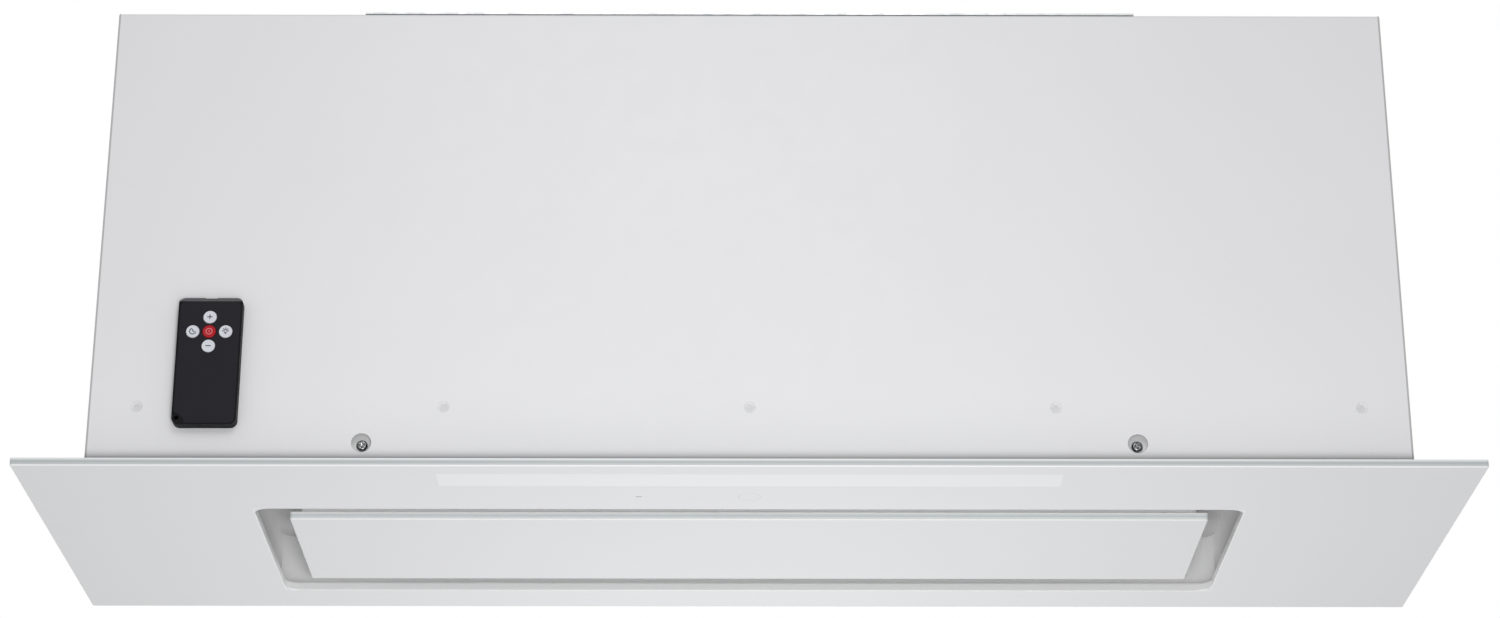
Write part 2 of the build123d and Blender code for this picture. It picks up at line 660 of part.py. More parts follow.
def fascia_frame():
    """Steel frame bonded to the glass; its tabs stand up inside the casing for the screws."""
    frame = slab(frame_width, frame_depth, glass_top, frame_top, corner=FRAME_CORNER)
    wide = opening_width + 2 * FRAME_SETBACK
    deep = opening_depth + 2 * FRAME_SETBACK
    low, high = glass_top - OVERCUT, frame_top + OVERCUT
    frame -= slab(wide, deep, low, high, opening_shift, OPENING_CORNER)
    lip = 2 * (PROFILE_LIP + SHEET_PLAY)
    frame -= slab(LIGHT_WIDTH + lip, LIGHT_DEPTH + lip, low, high, light_y)
    play = 2 * SENSOR_PLAY
    for x, width in ((0, SENSOR_BOARD_WIDTH), (RECEIVER_OFFSET, RECEIVER_WIDTH)):
        frame -= slab(width + play, SENSOR_BOARD_DEPTH + play, low, high, sensor_y, x=x)
    for side, span in ((-1, front_screw_span), (1, rear_screw_span)):
        y_pair = sorted((side * tab_y, side * (tab_y - FRAME_SHEET)))
        for end in (-1, 1):
            x = end * span / 2
            frame += block(x - TAB_WIDTH / 2, x + TAB_WIDTH / 2, *y_pair, glass_top, glass_top + TAB_RISE)
    for places in screw_places().values():
        for place in places:
            frame -= place * flatted(SCREW_SHANK_RADIUS, SCREW_SETBACK + SCREW_LENGTH)
    return frame


def fascia_screws():
    """Pan-head screws with a cross recess, set deep behind the access holes."""
    head = Pos(0, 0, SCREW_SETBACK) * flatted(SCREW_HEAD_RADIUS, SCREW_HEAD, sides=ROUND_SIDES)
    screw = head + Pos(0, 0, SCREW_SETBACK) * flatted(SCREW_SHANK_RADIUS, SCREW_LENGTH)
    for width, depth in ((CROSS_REACH, CROSS_WIDTH), (CROSS_WIDTH, CROSS_REACH)):
        screw -= slab(width, depth, SCREW_SETBACK - OVERCUT, SCREW_SETBACK + CROSS_DEPTH)
    return [place * screw for places in screw_places().values() for place in places]


def body_rivets():
    """Blind rivets with dished heads that fix the recess ceiling to the casing."""
    dish = flatted(RIVET_SHANK_RADIUS / 2, RIVET_DISH, RIVET_DISH_RADIUS - RIVET_DISH_EDGE)
    rivet = rivet_body() - dish
    return [place * rivet for places in rivet_places().values() for place in places]


# ---- Light strip and sensors -------------------------------------------------------------
def led_diffuser():
    """Opal light guide lying on the back of the glass."""
    return slab(LIGHT_WIDTH, LIGHT_DEPTH, glass_top, glass_top + DIFFUSER_THICK, light_y)


def led_board():
    """Aluminium-backed strip with its row of light chips facing the diffuser."""
    z = glass_top + DIFFUSER_THICK
    count = int(LIGHT_WIDTH // LED_PITCH)
    middle = z + LED_BOARD_THICK / 2
    board = slab(LIGHT_WIDTH, LIGHT_DEPTH - 2 * LED_BOARD_INSET, middle, z + LED_BOARD_THICK, light_y)
    for i in range(count):
        x = (i - (count - 1) / 2) * LED_PITCH
        board += slab(LED_WIDTH, LED_DEPTH, z, middle, light_y, x=x)
    return board


def led_profile():
    """Aluminium channel that closes over the strip."""
    height = DIFFUSER_THICK + LED_BOARD_THICK
    wide = LIGHT_WIDTH + 2 * PROFILE_LIP
    deep = LIGHT_DEPTH + 2 * PROFILE_LIP
    channel = slab(wide, deep, glass_top, glass_top + height + PROFILE_WALL, light_y)
    return channel - slab(LIGHT_WIDTH, LIGHT_DEPTH, glass_top - OVERCUT, glass_top + height, light_y)


def touch_sensor():
    """Sensor board on its spring pad, pressed to the glass under the touch ring."""
    pad = Pos(0, sensor_y, glass_top) * flatted(SENSOR_PAD_RADIUS, SENSOR_PAD_HEIGHT)
    z = glass_top + SENSOR_PAD_HEIGHT
    board = slab(SENSOR_BOARD_WIDTH, SENSOR_BOARD_DEPTH, z, z + BOARD_THICK, sensor_y)
    for side in (-1, 1):
        x = side * (SENSOR_BOARD_WIDTH / 2 - SENSOR_FOOT_INSET - SENSOR_FOOT / 2)
        board += slab(SENSOR_FOOT, SENSOR_BOARD_DEPTH, glass_top, z, sensor_y, x=x)
    return board + pad


def infrared_receiver():
    """Receiver with its lens, looking down through the small window in the glass."""
    low, high = glass_top + LENS_HEIGHT, glass_top + RECEIVER_HEIGHT
    body = slab(RECEIVER_WIDTH, RECEIVER_WIDTH, low, high, sensor_y, x=RECEIVER_OFFSET)
    lens = flatted(RECEIVER_WIDTH / 2 - LENS_INSET, LENS_HEIGHT, sides=ROUND_SIDES)
    return body + Pos(RECEIVER_OFFSET, sensor_y, glass_top) * lens


# ---- Suction panel -----------------------------------------------------------------------
def panel_glass():
    """White glass of the suction panel."""
    glass = slab(panel_width, panel_depth, PANEL_RECESS, panel_top, opening_shift, PANEL_CORNER)
    return chamfer(glass.faces().sort_by(Axis.Z)[0].edges(), GLASS_ARRIS)


def hinge_ear():
    """Ear that rises from the tray to the hinge pin, drawn in the YZ plane."""
    root_y = panel_y1 - TRAY_INSET - EAR_ROOT
    web = make_face(Polyline(
        (root_y, panel_top + SHEET / 2),
        (panel_y1 - TRAY_INSET, panel_top + SHEET / 2),
        (hinge_y + HINGE_EYE_RADIUS * cos(radians(60)), HINGE_RISE - HINGE_EYE_RADIUS * sin(radians(60))),
        (hinge_y, HINGE_RISE + HINGE_EYE_RADIUS),
        (root_y, tray_top - SHEET),
        close=True,
    ))
    eye = Pos(hinge_y, HINGE_RISE) * RegularPolygon(HINGE_EYE_RADIUS, ROUND_SIDES)
    hole = Pos(hinge_y, HINGE_RISE) * Circle(HINGE_PIN_RADIUS + SHAFT_FIT)
    return extrude(Plane.YZ * (web + eye - hole), EAR_THICK / 2, both=True)


def panel_tray():
    """Steel tray bonded to the panel glass, with its hinge ears."""
    width = panel_width - 2 * TRAY_INSET
    depth = panel_depth - 2 * TRAY_INSET
    tray = slab(width, depth, panel_top, tray_top, opening_shift, PANEL_CORNER + SHEET)
    width -= 2 * SHEET
    depth -= 2 * SHEET
    tray -= slab(width, depth, panel_top + SHEET, tray_top + OVERCUT, opening_shift, PANEL_CORNER)
    for side in (-1, 1):
        tray += Pos(side * hinge_x, 0, 0) * hinge_ear()
    return tray


def catch_strikes():
    """Folded steel bridges on the tray that the magnets hold."""
    bridges = []
    foot = panel_top + SHEET
    wide = MAGNET_WIDTH + 2 * SHEET
    deep = MAGNET_DEPTH + 2 * STRIKE_MARGIN
    flange = MAGNET_WIDTH / 2
    for side in (-1, 1):
        bridge = slab(wide, deep, foot, tray_top, catch_y)
        bridge -= slab(MAGNET_WIDTH, deep, foot - OVERCUT, tray_top - SHEET, catch_y)
        for end in (-1, 1):
            x = end * (wide + flange - SHEET) / 2
            bridge += slab(flange, deep, foot, foot + SHEET, catch_y, x=x)
        bridges.append(Pos(side * hinge_x, 0, 0) * bridge)
    return bridges


def hinge_brackets():
    """Clevises under the recess ceiling that hold the panel's hinge pins."""
    brackets = []
    inner = EAR_THICK / 2 + CHEEK_GAP
    wide = 2 * (inner + CHEEK_THICK)
    eye = Pos(hinge_y, HINGE_RISE) * RegularPolygon(HINGE_EYE_RADIUS, ROUND_SIDES)
    leg_middle = (HINGE_RISE + RECESS_HEIGHT) / 2
    leg = Pos(hinge_y, leg_middle) * Rectangle(2 * HINGE_EYE_RADIUS, RECESS_HEIGHT - HINGE_RISE)
    hole = Pos(hinge_y, HINGE_RISE) * Circle(HINGE_PIN_RADIUS)
    base_z = RECESS_HEIGHT - CHEEK_THICK
    for side in (-1, 1):
        x = side * hinge_x
        bracket = slab(wide, HINGE_BASE_LENGTH, base_z, RECESS_HEIGHT, hinge_y, x=x)
        for start in (x + inner, x - inner - CHEEK_THICK):
            bracket += Pos(start, 0, 0) * extrude(Plane.YZ * (leg + eye - hole), CHEEK_THICK)
        brackets.append(bracket)
    return brackets


def hinge_pins():
    """Headed pins through the clevises and the tray's ears."""
    half = EAR_THICK / 2 + CHEEK_GAP + CHEEK_THICK
    head = Pos(0, 0, -SHEET) * flatted(HINGE_HEAD_RADIUS, SHEET)
    pin = rod(HINGE_PIN_RADIUS, 2 * half + SHEET) + head
    return [along_x(side * hinge_x - half, hinge_y, HINGE_RISE) * pin for side in (-1, 1)]


def catch_brackets():
    """Folded brackets under the recess ceiling that carry the catch magnets."""
    brackets = []
    foot = tray_top + MAGNET_GAP + MAGNET_HEIGHT
    reach = MAGNET_DEPTH / 2
    for side in (-1, 1):
        path = [
            (catch_y - reach, foot + SHEET / 2),
            (catch_y + reach, foot + SHEET / 2),
            (catch_y + reach, RECESS_HEIGHT - SHEET / 2),
            (catch_y - reach - 2 * STRIKE_MARGIN, RECESS_HEIGHT - SHEET / 2),
        ]
        bracket = folded(path, SHEET, MAGNET_WIDTH, Plane.YZ, CATCH_FOLD)
        brackets.append(Pos(side * hinge_x, 0, 0) * bracket)
    return brackets


def catch_magnets():
    """Block magnets on the catch brackets."""
    foot = tray_top + MAGNET_GAP
    wide = MAGNET_WIDTH - 2 * MAGNET_INSET_X
    deep = MAGNET_DEPTH - 2 * MAGNET_INSET_Y
    return [slab(wide, deep, foot, foot + MAGNET_HEIGHT, catch_y, x=side * hinge_x) for side in (-1, 1)]


# ---- Grease filter -----------------------------------------------------------------------
def latch_levels():
    """Lower and upper face of the latch tongue."""
    low = plenum_top + LATCH_PLAY
    return low, low + LATCH_THICK


def latch_knob_y():
    """Front face of the latch's finger knob."""
    return filter_y0 + FILTER_WALL + LATCH_KNOB_SETBACK


def filter_frame():
    """Aluminium frame with two fixed tongues at the rear and the latch's slots in front."""
    def filled(inset, low, high, corner=0.0):
        wide = filter_width - 2 * inset
        deep = filter_depth - 2 * inset
        return slab(wide, deep, low, high, opening_shift, corner)

    frame = filled(0, filter_z0, filter_z1, FILTER_CORNER)
    frame -= filled(FILTER_WALL, filter_z0 + FILTER_WALL, filter_z1 + OVERCUT)
    frame -= filled(FILTER_RIM, filter_z0 - OVERCUT, filter_z1)
    reach = TONGUE_REACH + FILTER_WALL
    for x in (-tongue_span / 2, tongue_span / 2):
        middle = filter_y1 + TONGUE_REACH - reach / 2
        frame += slab(TONGUE_WIDTH, reach, plenum_top, plenum_top + FILTER_WALL, middle, x=x)
    play = LATCH_PLAY
    low, high = latch_levels()
    half = LATCH_WIDTH / 2 + play
    wall_to = filter_y0 + FILTER_WALL
    frame -= block(-half, half, filter_y0 - OVERCUT, wall_to + OVERCUT, low - play, high + play)
    knob_y = latch_knob_y()
    knob_end = knob_y + LATCH_KNOB + LATCH_TRAVEL
    half -= LATCH_KNOB_INSET
    floor_top = filter_z0 + FILTER_WALL
    frame -= block(-half, half, knob_y - play, knob_end + play, filter_z0 - OVERCUT, floor_top + OVERCUT)
    guide = LATCH_GUIDE / 2
    for x in (guide - LATCH_WIDTH / 2, LATCH_WIDTH / 2 - guide):
        top = low - LATCH_GUIDE_PLAY
        frame += block(x - guide, x + guide, wall_to, filter_y0 + FILTER_RIM, floor_top, top)
    return frame


def filter_latch():
    """Sliding latch: its tongue rests on the recess ceiling, its knob hangs below the frame."""
    low, high = latch_levels()
    half = LATCH_WIDTH / 2
    start = filter_y0 - LATCH_REACH
    tongue = block(-half, half, start, start + LATCH_LENGTH, low, high)
    tip = tongue.edges().filter_by(Axis.X).group_by(Axis.Y)[0].sort_by(Axis.Z)[0]
    tongue = chamfer(tip, LATCH_LEAD_IN)
    knob_y = latch_knob_y()
    half -= LATCH_KNOB_INSET
    knob = block(-half, half, knob_y, knob_y + LATCH_KNOB, filter_z0 - LATCH_KNOB_DROP, low)
    knob = fillet(knob.edges().filter_by(Axis.X).group_by(Axis.Z)[0], LATCH_KNOB_ROUND)
    return tongue + knob


def filter_mesh():
    """Pleated mesh pack held by the frame's rim, notched for the latch."""
    half = filter_width / 2 - FILTER_WALL - MESH_PLAY
    count = int(half // PLEAT_PITCH)
    low = filter_z0 + FILTER_WALL + PLEAT_SHEET
    crest = [(i * PLEAT_PITCH / 2, low + PLEAT_DEPTH * (i % 2)) for i in range(-2 * count, 2 * count + 1)]
    reach = filter_depth / 2 - FILTER_WALL - MESH_INSET
    zigzag = Plane.XZ * trace(Polyline(*crest), PLEAT_SHEET)
    pleats = Pos(0, opening_shift, 0) * extrude(zigzag, reach, both=True)
    notch_end = filter_y0 + LATCH_LENGTH + LATCH_TRAVEL + LATCH_NOTCH_PLAY
    return pleats - block(-LATCH_WIDTH, LATCH_WIDTH, filter_y0, notch_end, filter_z0, filter_z1)


# ---- Blower ------------------------------------------------------------------------------
def scroll_region():
    """Inside of the scroll: three quarter arcs of growing radius, then the straight outlet."""
    step = SCROLL_STEP / 2
    first = CenterArc((fan_y - step, fan_z - step), scroll_radius, 90, 90)
    second = CenterArc((fan_y + step, fan_z - step), scroll_radius + SCROLL_STEP, 180, 90)
    third = CenterArc((fan_y + step, fan_z + step), scroll_radius + 2 * SCROLL_STEP, 270, 90)
    cut_off = (outlet_y0 - TONGUE_RADIUS, crown + TONGUE_RADIUS)
    tongue = CenterArc(cut_off, TONGUE_RADIUS, 270, 90)
    walls = Polyline(
        (outlet_y1, fan_z + step),
        (outlet_y1, outlet_rise),
        (outlet_y0, outlet_rise),
        (outlet_y0, crown + TONGUE_RADIUS),
    )
    roof = Line((fan_y - step, crown), (outlet_y0 - TONGUE_RADIUS, crown))
    return make_face([first, second, third, walls, tongue, roof])


def scroll_outline():
    """Outside of the scroll, cut level at its mouth."""
    over = 2 * SCROLL_WALL
    above = Pos(0, outlet_rise + over / 2) * Rectangle(4 * scroll_radius, over)
    return offset(scroll_region(), SCROLL_WALL, kind=Kind.ARC) - above


def scroll_wrap():
    """Spiral band of the scroll, open at the outlet."""
    return extrude(Plane.YZ * (scroll_outline() - scroll_region()), SCROLL_HALF_WIDTH, both=True)


def hanger_spans():
    """Y spans of the ears by which a scroll side hangs from the motor plate."""
    front = fan_y - scroll_radius + EAR_FROM_FRONT
    rear = outlet_y1 - EAR_FROM_REAR
    return [(front, front + HANGER_WIDTH), (rear - HANGER_WIDTH, rear)]


def hanger_screw_places():
    """Screws through the motor plate into the scroll sides' ears."""
    x = SCROLL_HALF_WIDTH + SCROLL_WALL + TOP_FLANGE / 2
    return [(side * x, (a + b) / 2) for side in (-1, 1) for a, b in hanger_spans()]


def scroll_side(side):
    """Side of the scroll with its inlet and two ears that fold over under the motor plate."""
    outline = scroll_outline()
    foot = fan_z + scroll_radius / 2
    for start, end in hanger_spans():
        outline += Pos((start + end) / 2, (foot + body_top) / 2) * Rectangle(end - start, body_top - foot)
    outline -= Pos(fan_y, fan_z) * RegularPolygon(inlet_seat, TURNED_SIDES)
    x = side * (SCROLL_HALF_WIDTH + SCROLL_WALL / 2)
    sheet = Pos(x, 0, 0) * extrude(Plane.YZ * outline, SCROLL_WALL / 2, both=True)
    reach = SCROLL_HALF_WIDTH + SCROLL_WALL + TOP_FLANGE
    x_pair = sorted((side * SCROLL_HALF_WIDTH, side * reach))
    for start, end in hanger_spans():
        sheet += block(*x_pair, start, end, lid_z, body_top)
    for x, y in hanger_screw_places():
        sheet -= Pos(x, y, lid_z) * flatted(COVER_SCREW_RADIUS, SHEET)
    return sheet


def inlet_ring(side):
    """Bell mouth: a flange that rolls inwards into the wheel's eye."""
    face = SCROLL_WALL  # height of the side sheet's outer face above its inner face
    low = face - INLET_LIP
    high = face + INLET_WALL
    outside = [(inlet_radius + INLET_WALL, low), (inlet_seat, face), (inlet_rim, face), (inlet_rim, high)]
    throat = [(inlet_radius, low - OVERCUT), (inlet_radius, low)]
    inside = throat + [(inlet_seat - INLET_WALL, high), (inlet_seat, high + OVERCUT)]
    bell = turned(outside) - turned(inside)
    return along_x(side * SCROLL_HALF_WIDTH, fan_y, fan_z, side) * bell


def impeller():
    """Double-inlet wheel's blades, forward-curved, riveted between two end rings."""
    root = fan_radius - FAN_RING_DEPTH
    lean = radians(BLADE_SWEEP)
    tip = Vector(fan_radius - BLADE_THICK, 0)
    start = Vector(root, -FAN_RING_DEPTH * sin(lean))
    bow = (tip + start) * 0.5 + Vector(BLADE_BOW * sin(lean), -BLADE_BOW * cos(lean))
    blade = trace(Polyline(start, bow, tip), BLADE_THICK)
    blades = PolarLocations(0, FAN_BLADES) * blade
    wheel = extrude(Sketch() + blades, FAN_HALF_WIDTH - FAN_RING, both=True)
    for low in (FAN_HALF_WIDTH - FAN_RING, -FAN_HALF_WIDTH):
        wheel += Pos(0, 0, low) * ring(fan_radius, root, FAN_RING, FAN_BLADES)
    return along_x(0, fan_y, fan_z) * wheel


def impeller_disc():
    """Centre disc that carries the blades, with its hub and the bore for the motor's shaft."""
    root = fan_radius - FAN_RING_DEPTH
    disc = Pos(0, 0, -DISC_THICK / 2) * flatted(root + DISC_REACH, DISC_THICK, sides=FAN_BLADES)
    half = HUB_LENGTH / 2
    below = [(HUB_RADIUS, -half), (HUB_RADIUS, -DISC_THICK), (HUB_FLARE, 0)]
    disc += turned(below + [(HUB_RADIUS, DISC_THICK), (HUB_RADIUS, half)], ROUND_SIDES)
    disc -= Pos(0, 0, -half) * rod(SHAFT_RADIUS, HUB_LENGTH)
    return along_x(0, fan_y, fan_z) * disc


def motor_shaft():
    """Shaft from the far end of the motor through the wheel's hub."""
    start = -(MOTOR_SETBACK + MOTOR_LENGTH + SHAFT_TAIL)
    shaft = rod(SHAFT_RADIUS, HUB_LENGTH / 2 + SHAFT_NOSE - start)
    return along_x(start, fan_y, fan_z) * shaft


def motor():
    """Motor can with stepped end bells, cooling slots and bearing bosses, bored for the shaft."""
    can = turned([
        (BEARING_RADIUS, 0),
        (BEARING_RADIUS, BEARING_LENGTH),
        (BELL_RADIUS, BEARING_LENGTH),
        (MOTOR_RADIUS, BELL_DEPTH),
        (MOTOR_RADIUS, MOTOR_LENGTH - BELL_DEPTH),
        (BELL_RADIUS, MOTOR_LENGTH - BEARING_LENGTH),
        (BEARING_RADIUS, MOTOR_LENGTH - BEARING_LENGTH),
        (BEARING_RADIUS, MOTOR_LENGTH),
    ])
    can -= rod(SHAFT_RADIUS + SHAFT_FIT, MOTOR_LENGTH)
    slot = slab(BELL_RADIUS - BEARING_RADIUS - 2 * SLOT_MARGIN, SLOT_WIDTH, 0, SLOT_DEPTH)
    slot = Pos((BELL_RADIUS + BEARING_RADIUS) / 2, 0, 0) * slot
    for i in range(COOLING_SLOTS):
        can -= Rot(0, 0, 360 * i / COOLING_SLOTS) * slot
    return along_x(-MOTOR_SETBACK, fan_y, fan_z, -1) * can


def motor_bracket():
    """Clamp band with three arms that hold the motor in the left inlet."""
    face = SCROLL_HALF_WIDTH + SCROLL_WALL
    band = face + BRACKET_REACH
    half = BRACKET_ARM / 2
    foot_from = inlet_rim + BRACKET_GAP
    foot_to = foot_from + BRACKET_FOOT
    leg_to = foot_from + BRACKET_LEG
    bracket = Pos(0, 0, band) * ring(MOTOR_RADIUS + BRACKET_WALL, MOTOR_RADIUS, BRACKET_BAND)
    arm = block(MOTOR_RADIUS + SHEET, leg_to, -half, half, band, band + BRACKET_WALL)
    leg = block(foot_from, leg_to, -half, half, face, band + BRACKET_WALL)
    foot = block(foot_from, foot_to, -half, half, face, face + BRACKET_SHEET)
    for angle in BRACKET_ANGLES:
        bracket += Rot(0, 0, angle) * (arm + leg + foot)
    # seen along +X the bracket's own X axis is turned to the rear of the hood
    return Pos(0, fan_y, fan_z) * Rot(0, -90, 0) * Rot(0, 0, -90) * bracket


def outlet_transition():
    """Folded duct piece that plugs into the scroll's mouth and turns round towards the spigot."""
    def form(wall):
        # every edge of the mouth is parallel to the outlet's, so that all the sides are flat
        reach_x = SCROLL_HALF_WIDTH - OUTLET_CORNER
        reach_y = (outlet_y1 - outlet_y0) / 2 - OUTLET_CORNER
        middle = (outlet_y0 + outlet_y1) / 2
        corner = OUTLET_CORNER - wall
        outlet = duct_bore + SCROLL_WALL - wall
        rings = [[], [], []]
        for i in range(OUTLET_FOLDS):
            turn = radians((i + 0.5) * 360 / OUTLET_FOLDS)
            x = (1 if cos(turn) > 0 else -1) * reach_x + corner * cos(turn)
            y = middle + (1 if sin(turn) > 0 else -1) * reach_y + corner * sin(turn)
            rings[0].append((x, y, outlet_rise - OUTLET_PLUG))
            rings[1].append((x, y, outlet_rise))
            rings[2].append((outlet * cos(turn), duct_y + outlet * sin(turn), body_top))
        return flat_sided(rings)

    return form(0) - form(SCROLL_WALL)


# ---- Duct spigot and non-return flaps ----------------------------------------------------
def spigot_screw_places():
    """Four screws round the spigot's flange."""
    radius = (DUCT_FLANGE_RADIUS + DUCT_RADIUS) / 2
    turn = [radians(45 + 90 * i) for i in range(4)]
    return [(radius * cos(a), duct_y + radius * sin(a)) for a in turn]


def duct_spigot():
    """Round spigot with its flange and the ledge that the flaps close on."""
    spigot = flatted(DUCT_FLANGE_RADIUS, DUCT_FLANGE, sides=DUCT_SIDES) + rod(DUCT_RADIUS, DUCT_LENGTH)
    spigot -= flatted(duct_bore, DUCT_LENGTH, sides=DUCT_SIDES)
    ledge_top = FLAP_RISE - FLAP_THICK / 2 - CHEEK_GAP
    ledge = ring(duct_bore + LEDGE_ROOT, duct_bore - LEDGE_WIDTH, LEDGE_THICK, DUCT_SIDES)
    spigot += Pos(0, 0, ledge_top - LEDGE_THICK) * ledge
    spigot = Pos(0, duct_y, plate_top) * spigot
    spigot -= flap_pin()
    for x, y in spigot_screw_places():
        spigot -= Pos(x, y, plate_top) * flatted(COVER_SCREW_RADIUS, DUCT_FLANGE)
    return spigot


def flap_pin():
    """Wire pin across the spigot that both flaps swing on."""
    length = 2 * (DUCT_RADIUS - FLAP_PIN_INSET)
    return along_x(-length / 2, duct_y, flap_z) * rod(FLAP_PIN_RADIUS, length)


def damper_flap(side):
    """Half-round flap whose knuckles share the pin with the other flap's."""
    radius = duct_bore - FLAP_GAP
    root = FLAP_KNUCKLE_RADIUS + FLAP_ROOT
    other_half = Pos(0, -side * (radius - root)) * Rectangle(3 * radius, 2 * radius)
    outline = RegularPolygon(radius, DUCT_SIDES) - other_half
    flap = extrude(Pos(0, 0, -FLAP_THICK / 2) * outline, FLAP_THICK)
    reach = radius - LEDGE_WIDTH - FLAP_INSET
    pitch = 2 * reach / FLAP_KNUCKLES
    first = 0 if side < 0 else 1
    for i in range(first, FLAP_KNUCKLES, 2):
        x0 = -reach + i * pitch + CHEEK_GAP
        x1 = x0 + pitch - 2 * CHEEK_GAP
        y_pair = sorted((0, side * (root + KNUCKLE_ROOT)))
        flap += block(x0, x1, *y_pair, -FLAP_THICK / 2, FLAP_THICK / 2)
        flap += along_x(x0, 0, 0) * flatted(FLAP_KNUCKLE_RADIUS, x1 - x0, sides=ROUND_SIDES)
    flap -= along_x(-radius, 0, 0) * rod(FLAP_PIN_RADIUS + SHAFT_FIT, 2 * radius)
    return Pos(0, duct_y, flap_z) * flap


def cover_screws():
    """Hexagon-head screws of the lid, the motor plate, the scroll ears and the spigot."""
    def screw(depth):
        shank = Pos(0, 0, -depth) * flatted(COVER_SCREW_RADIUS, depth)
        return shank + flatted(COVER_SCREW_HEAD_RADIUS, COVER_SCREW_HEAD)

    lid_depth = 2 * SHEET + COVER_SCREW_TAIL
    screws = [Pos(x, y, body_top) * screw(lid_depth) for x, y in lid_screw_places()]
    plate_depth = PLATE_THICK + 2 * SHEET + COVER_SCREW_TAIL
    screws += [Pos(x, y, plate_top) * screw(plate_depth) for x, y in plate_screw_places()]
    ear_depth = PLATE_THICK + SHEET + COVER_SCREW_TAIL
    screws += [Pos(x, y, plate_top) * screw(ear_depth) for x, y in hanger_screw_places()]
    spigot_depth = DUCT_FLANGE + PLATE_THICK
    screws += [Pos(x, y, plate_top + DUCT_FLANGE) * screw(spigot_depth) for x, y in spigot_screw_places()]
    return screws


# ---- Electrics ---------------------------------------------------------------------------
def control_box():
    """Sheet box under the lid, open below, with a hole for the cable gland."""
    box = slab(BOX_WIDTH, BOX_DEPTH, box_foot, under_lid, box_y, x=box_x)
    wide = BOX_WIDTH - 2 * SHEET
    deep = BOX_DEPTH - 2 * SHEET
    hollow = slab(wide, deep, box_foot - OVERCUT, under_lid - SHEET, box_y, x=box_x)
    x, y = gland_place()
    return box - hollow - Pos(x, y, under_lid - SHEET) * flatted(GLAND_RADIUS, SHEET, sides=ROUND_SIDES)


def control_box_lid():
    """Tray-shaped lid that closes the control box from below."""
    lid = slab(BOX_WIDTH, BOX_DEPTH, box_foot - SHEET, box_foot, box_y, x=box_x)
    wide = BOX_WIDTH - 2 * (SHEET + BOX_PLAY)
    deep = BOX_DEPTH - 2 * (SHEET + BOX_PLAY)
    rim = slab(wide, deep, box_foot, box_foot + BOX_RIM, box_y, x=box_x)
    wide -= 2 * SHEET
    deep -= 2 * SHEET
    rim -= slab(wide, deep, box_foot - OVERCUT, box_foot + BOX_RIM + OVERCUT, box_y, x=box_x)
    return lid + rim


def control_board():
    """Circuit board on pillars from the lid, with its transformer, light driver and relays."""
    z = box_foot + BOX_STANDOFF
    half_x = BOX_WIDTH / 2 - BOARD_MARGIN_X
    half_y = BOX_DEPTH / 2 - BOARD_MARGIN_Y
    board = slab(2 * half_x, 2 * half_y, z, z + BOARD_THICK, box_y, x=box_x)
    for dx in (-1, 1):
        for dy in (-1, 1):
            x = box_x + dx * (half_x - 2 * PILLAR_RADIUS)
            y = box_y + dy * (half_y - 2 * PILLAR_RADIUS)
            board += Pos(x, y, box_foot) * flatted(PILLAR_RADIUS, BOX_STANDOFF)
    top = z + BOARD_THICK
    wide, deep, high, x, y = TRANSFORMER
    board += slab(wide, deep, top, top + high, box_y + y, x=box_x + x)
    wide, deep, high, x, y = LIGHT_DRIVER
    board += slab(wide, deep, top, top + high, box_y + y, x=box_x + x)
    wide, deep, high, x, y = RELAY
    for i in range(RELAYS):
        board += slab(wide, deep, top, top + high, box_y + y, x=box_x + x + i * RELAY_PITCH)
    return board


def terminal_block():
    """Mains terminal strip on the board, below the gland."""
    top = box_foot + BOX_STANDOFF + BOARD_THICK
    wide, deep, high, x, y = TERMINALS
    strip = slab(wide, deep, top, top + high, box_y + y, x=box_x + x)
    for i in range(-1, 2):
        hole = Pos(box_x + x + i * TERMINAL_PITCH, box_y + y, top + high / 2)
        strip -= hole * flatted(TERMINAL_HOLE_RADIUS, high)
    return strip


def motor_capacitor():
    """Run capacitor hung from the lid by its stud and nut."""
    foot = under_lid - CAPACITOR_SPACER
    can = Pos(0, 0, foot - CAPACITOR_LENGTH) * flatted(CAPACITOR_RADIUS, CAPACITOR_LENGTH, sides=TURNED_SIDES)
    can += Pos(0, 0, foot) * flatted(CAPACITOR_NUT, CAPACITOR_SPACER)
    can += Pos(0, 0, under_lid) * flatted(CAPACITOR_STUD, CAPACITOR_STUD_LENGTH)
    can += Pos(0, 0, lid_z) * flatted(CAPACITOR_NUT, CAPACITOR_NUT_HEIGHT)
    return Pos(capacitor_x, 0, 0) * can


def cable_gland():
    """Plastic cable gland through the lid and the box, with nut, dome and empty bore."""
    nut = GLAND_NUT / 2
    inner_face = under_lid - SHEET
    foot = inner_face - GLAND_THREAD
    body = Pos(0, 0, foot) * flatted(GLAND_RADIUS, lid_z - foot, sides=ROUND_SIDES)
    body += Pos(0, 0, lid_z) * flatted(nut, GLAND_COLLAR)
    body += Pos(0, 0, lid_z + GLAND_COLLAR) * flatted(GLAND_RADIUS, GLAND_DOME, nut - GLAND_STEP, ROUND_SIDES)
    body += Pos(0, 0, inner_face - GLAND_LOCKNUT) * flatted(nut, GLAND_LOCKNUT)
    body -= Pos(0, 0, foot) * rod(GLAND_BORE_RADIUS, lid_z + GLAND_COLLAR + GLAND_DOME - foot)
    x, y = gland_place()
    return Pos(x, y, 0) * body


# ---- Remote control ----------------------------------------------------------------------
def upright(outline, y, depth):
    """Solid from an outline drawn in XZ about the remote's middle, from depth y backwards."""
    middle = Pos(remote_x, y + depth, REMOTE_RISE + REMOTE_LENGTH / 2)
    return middle * extrude(Plane.XZ * outline, depth)


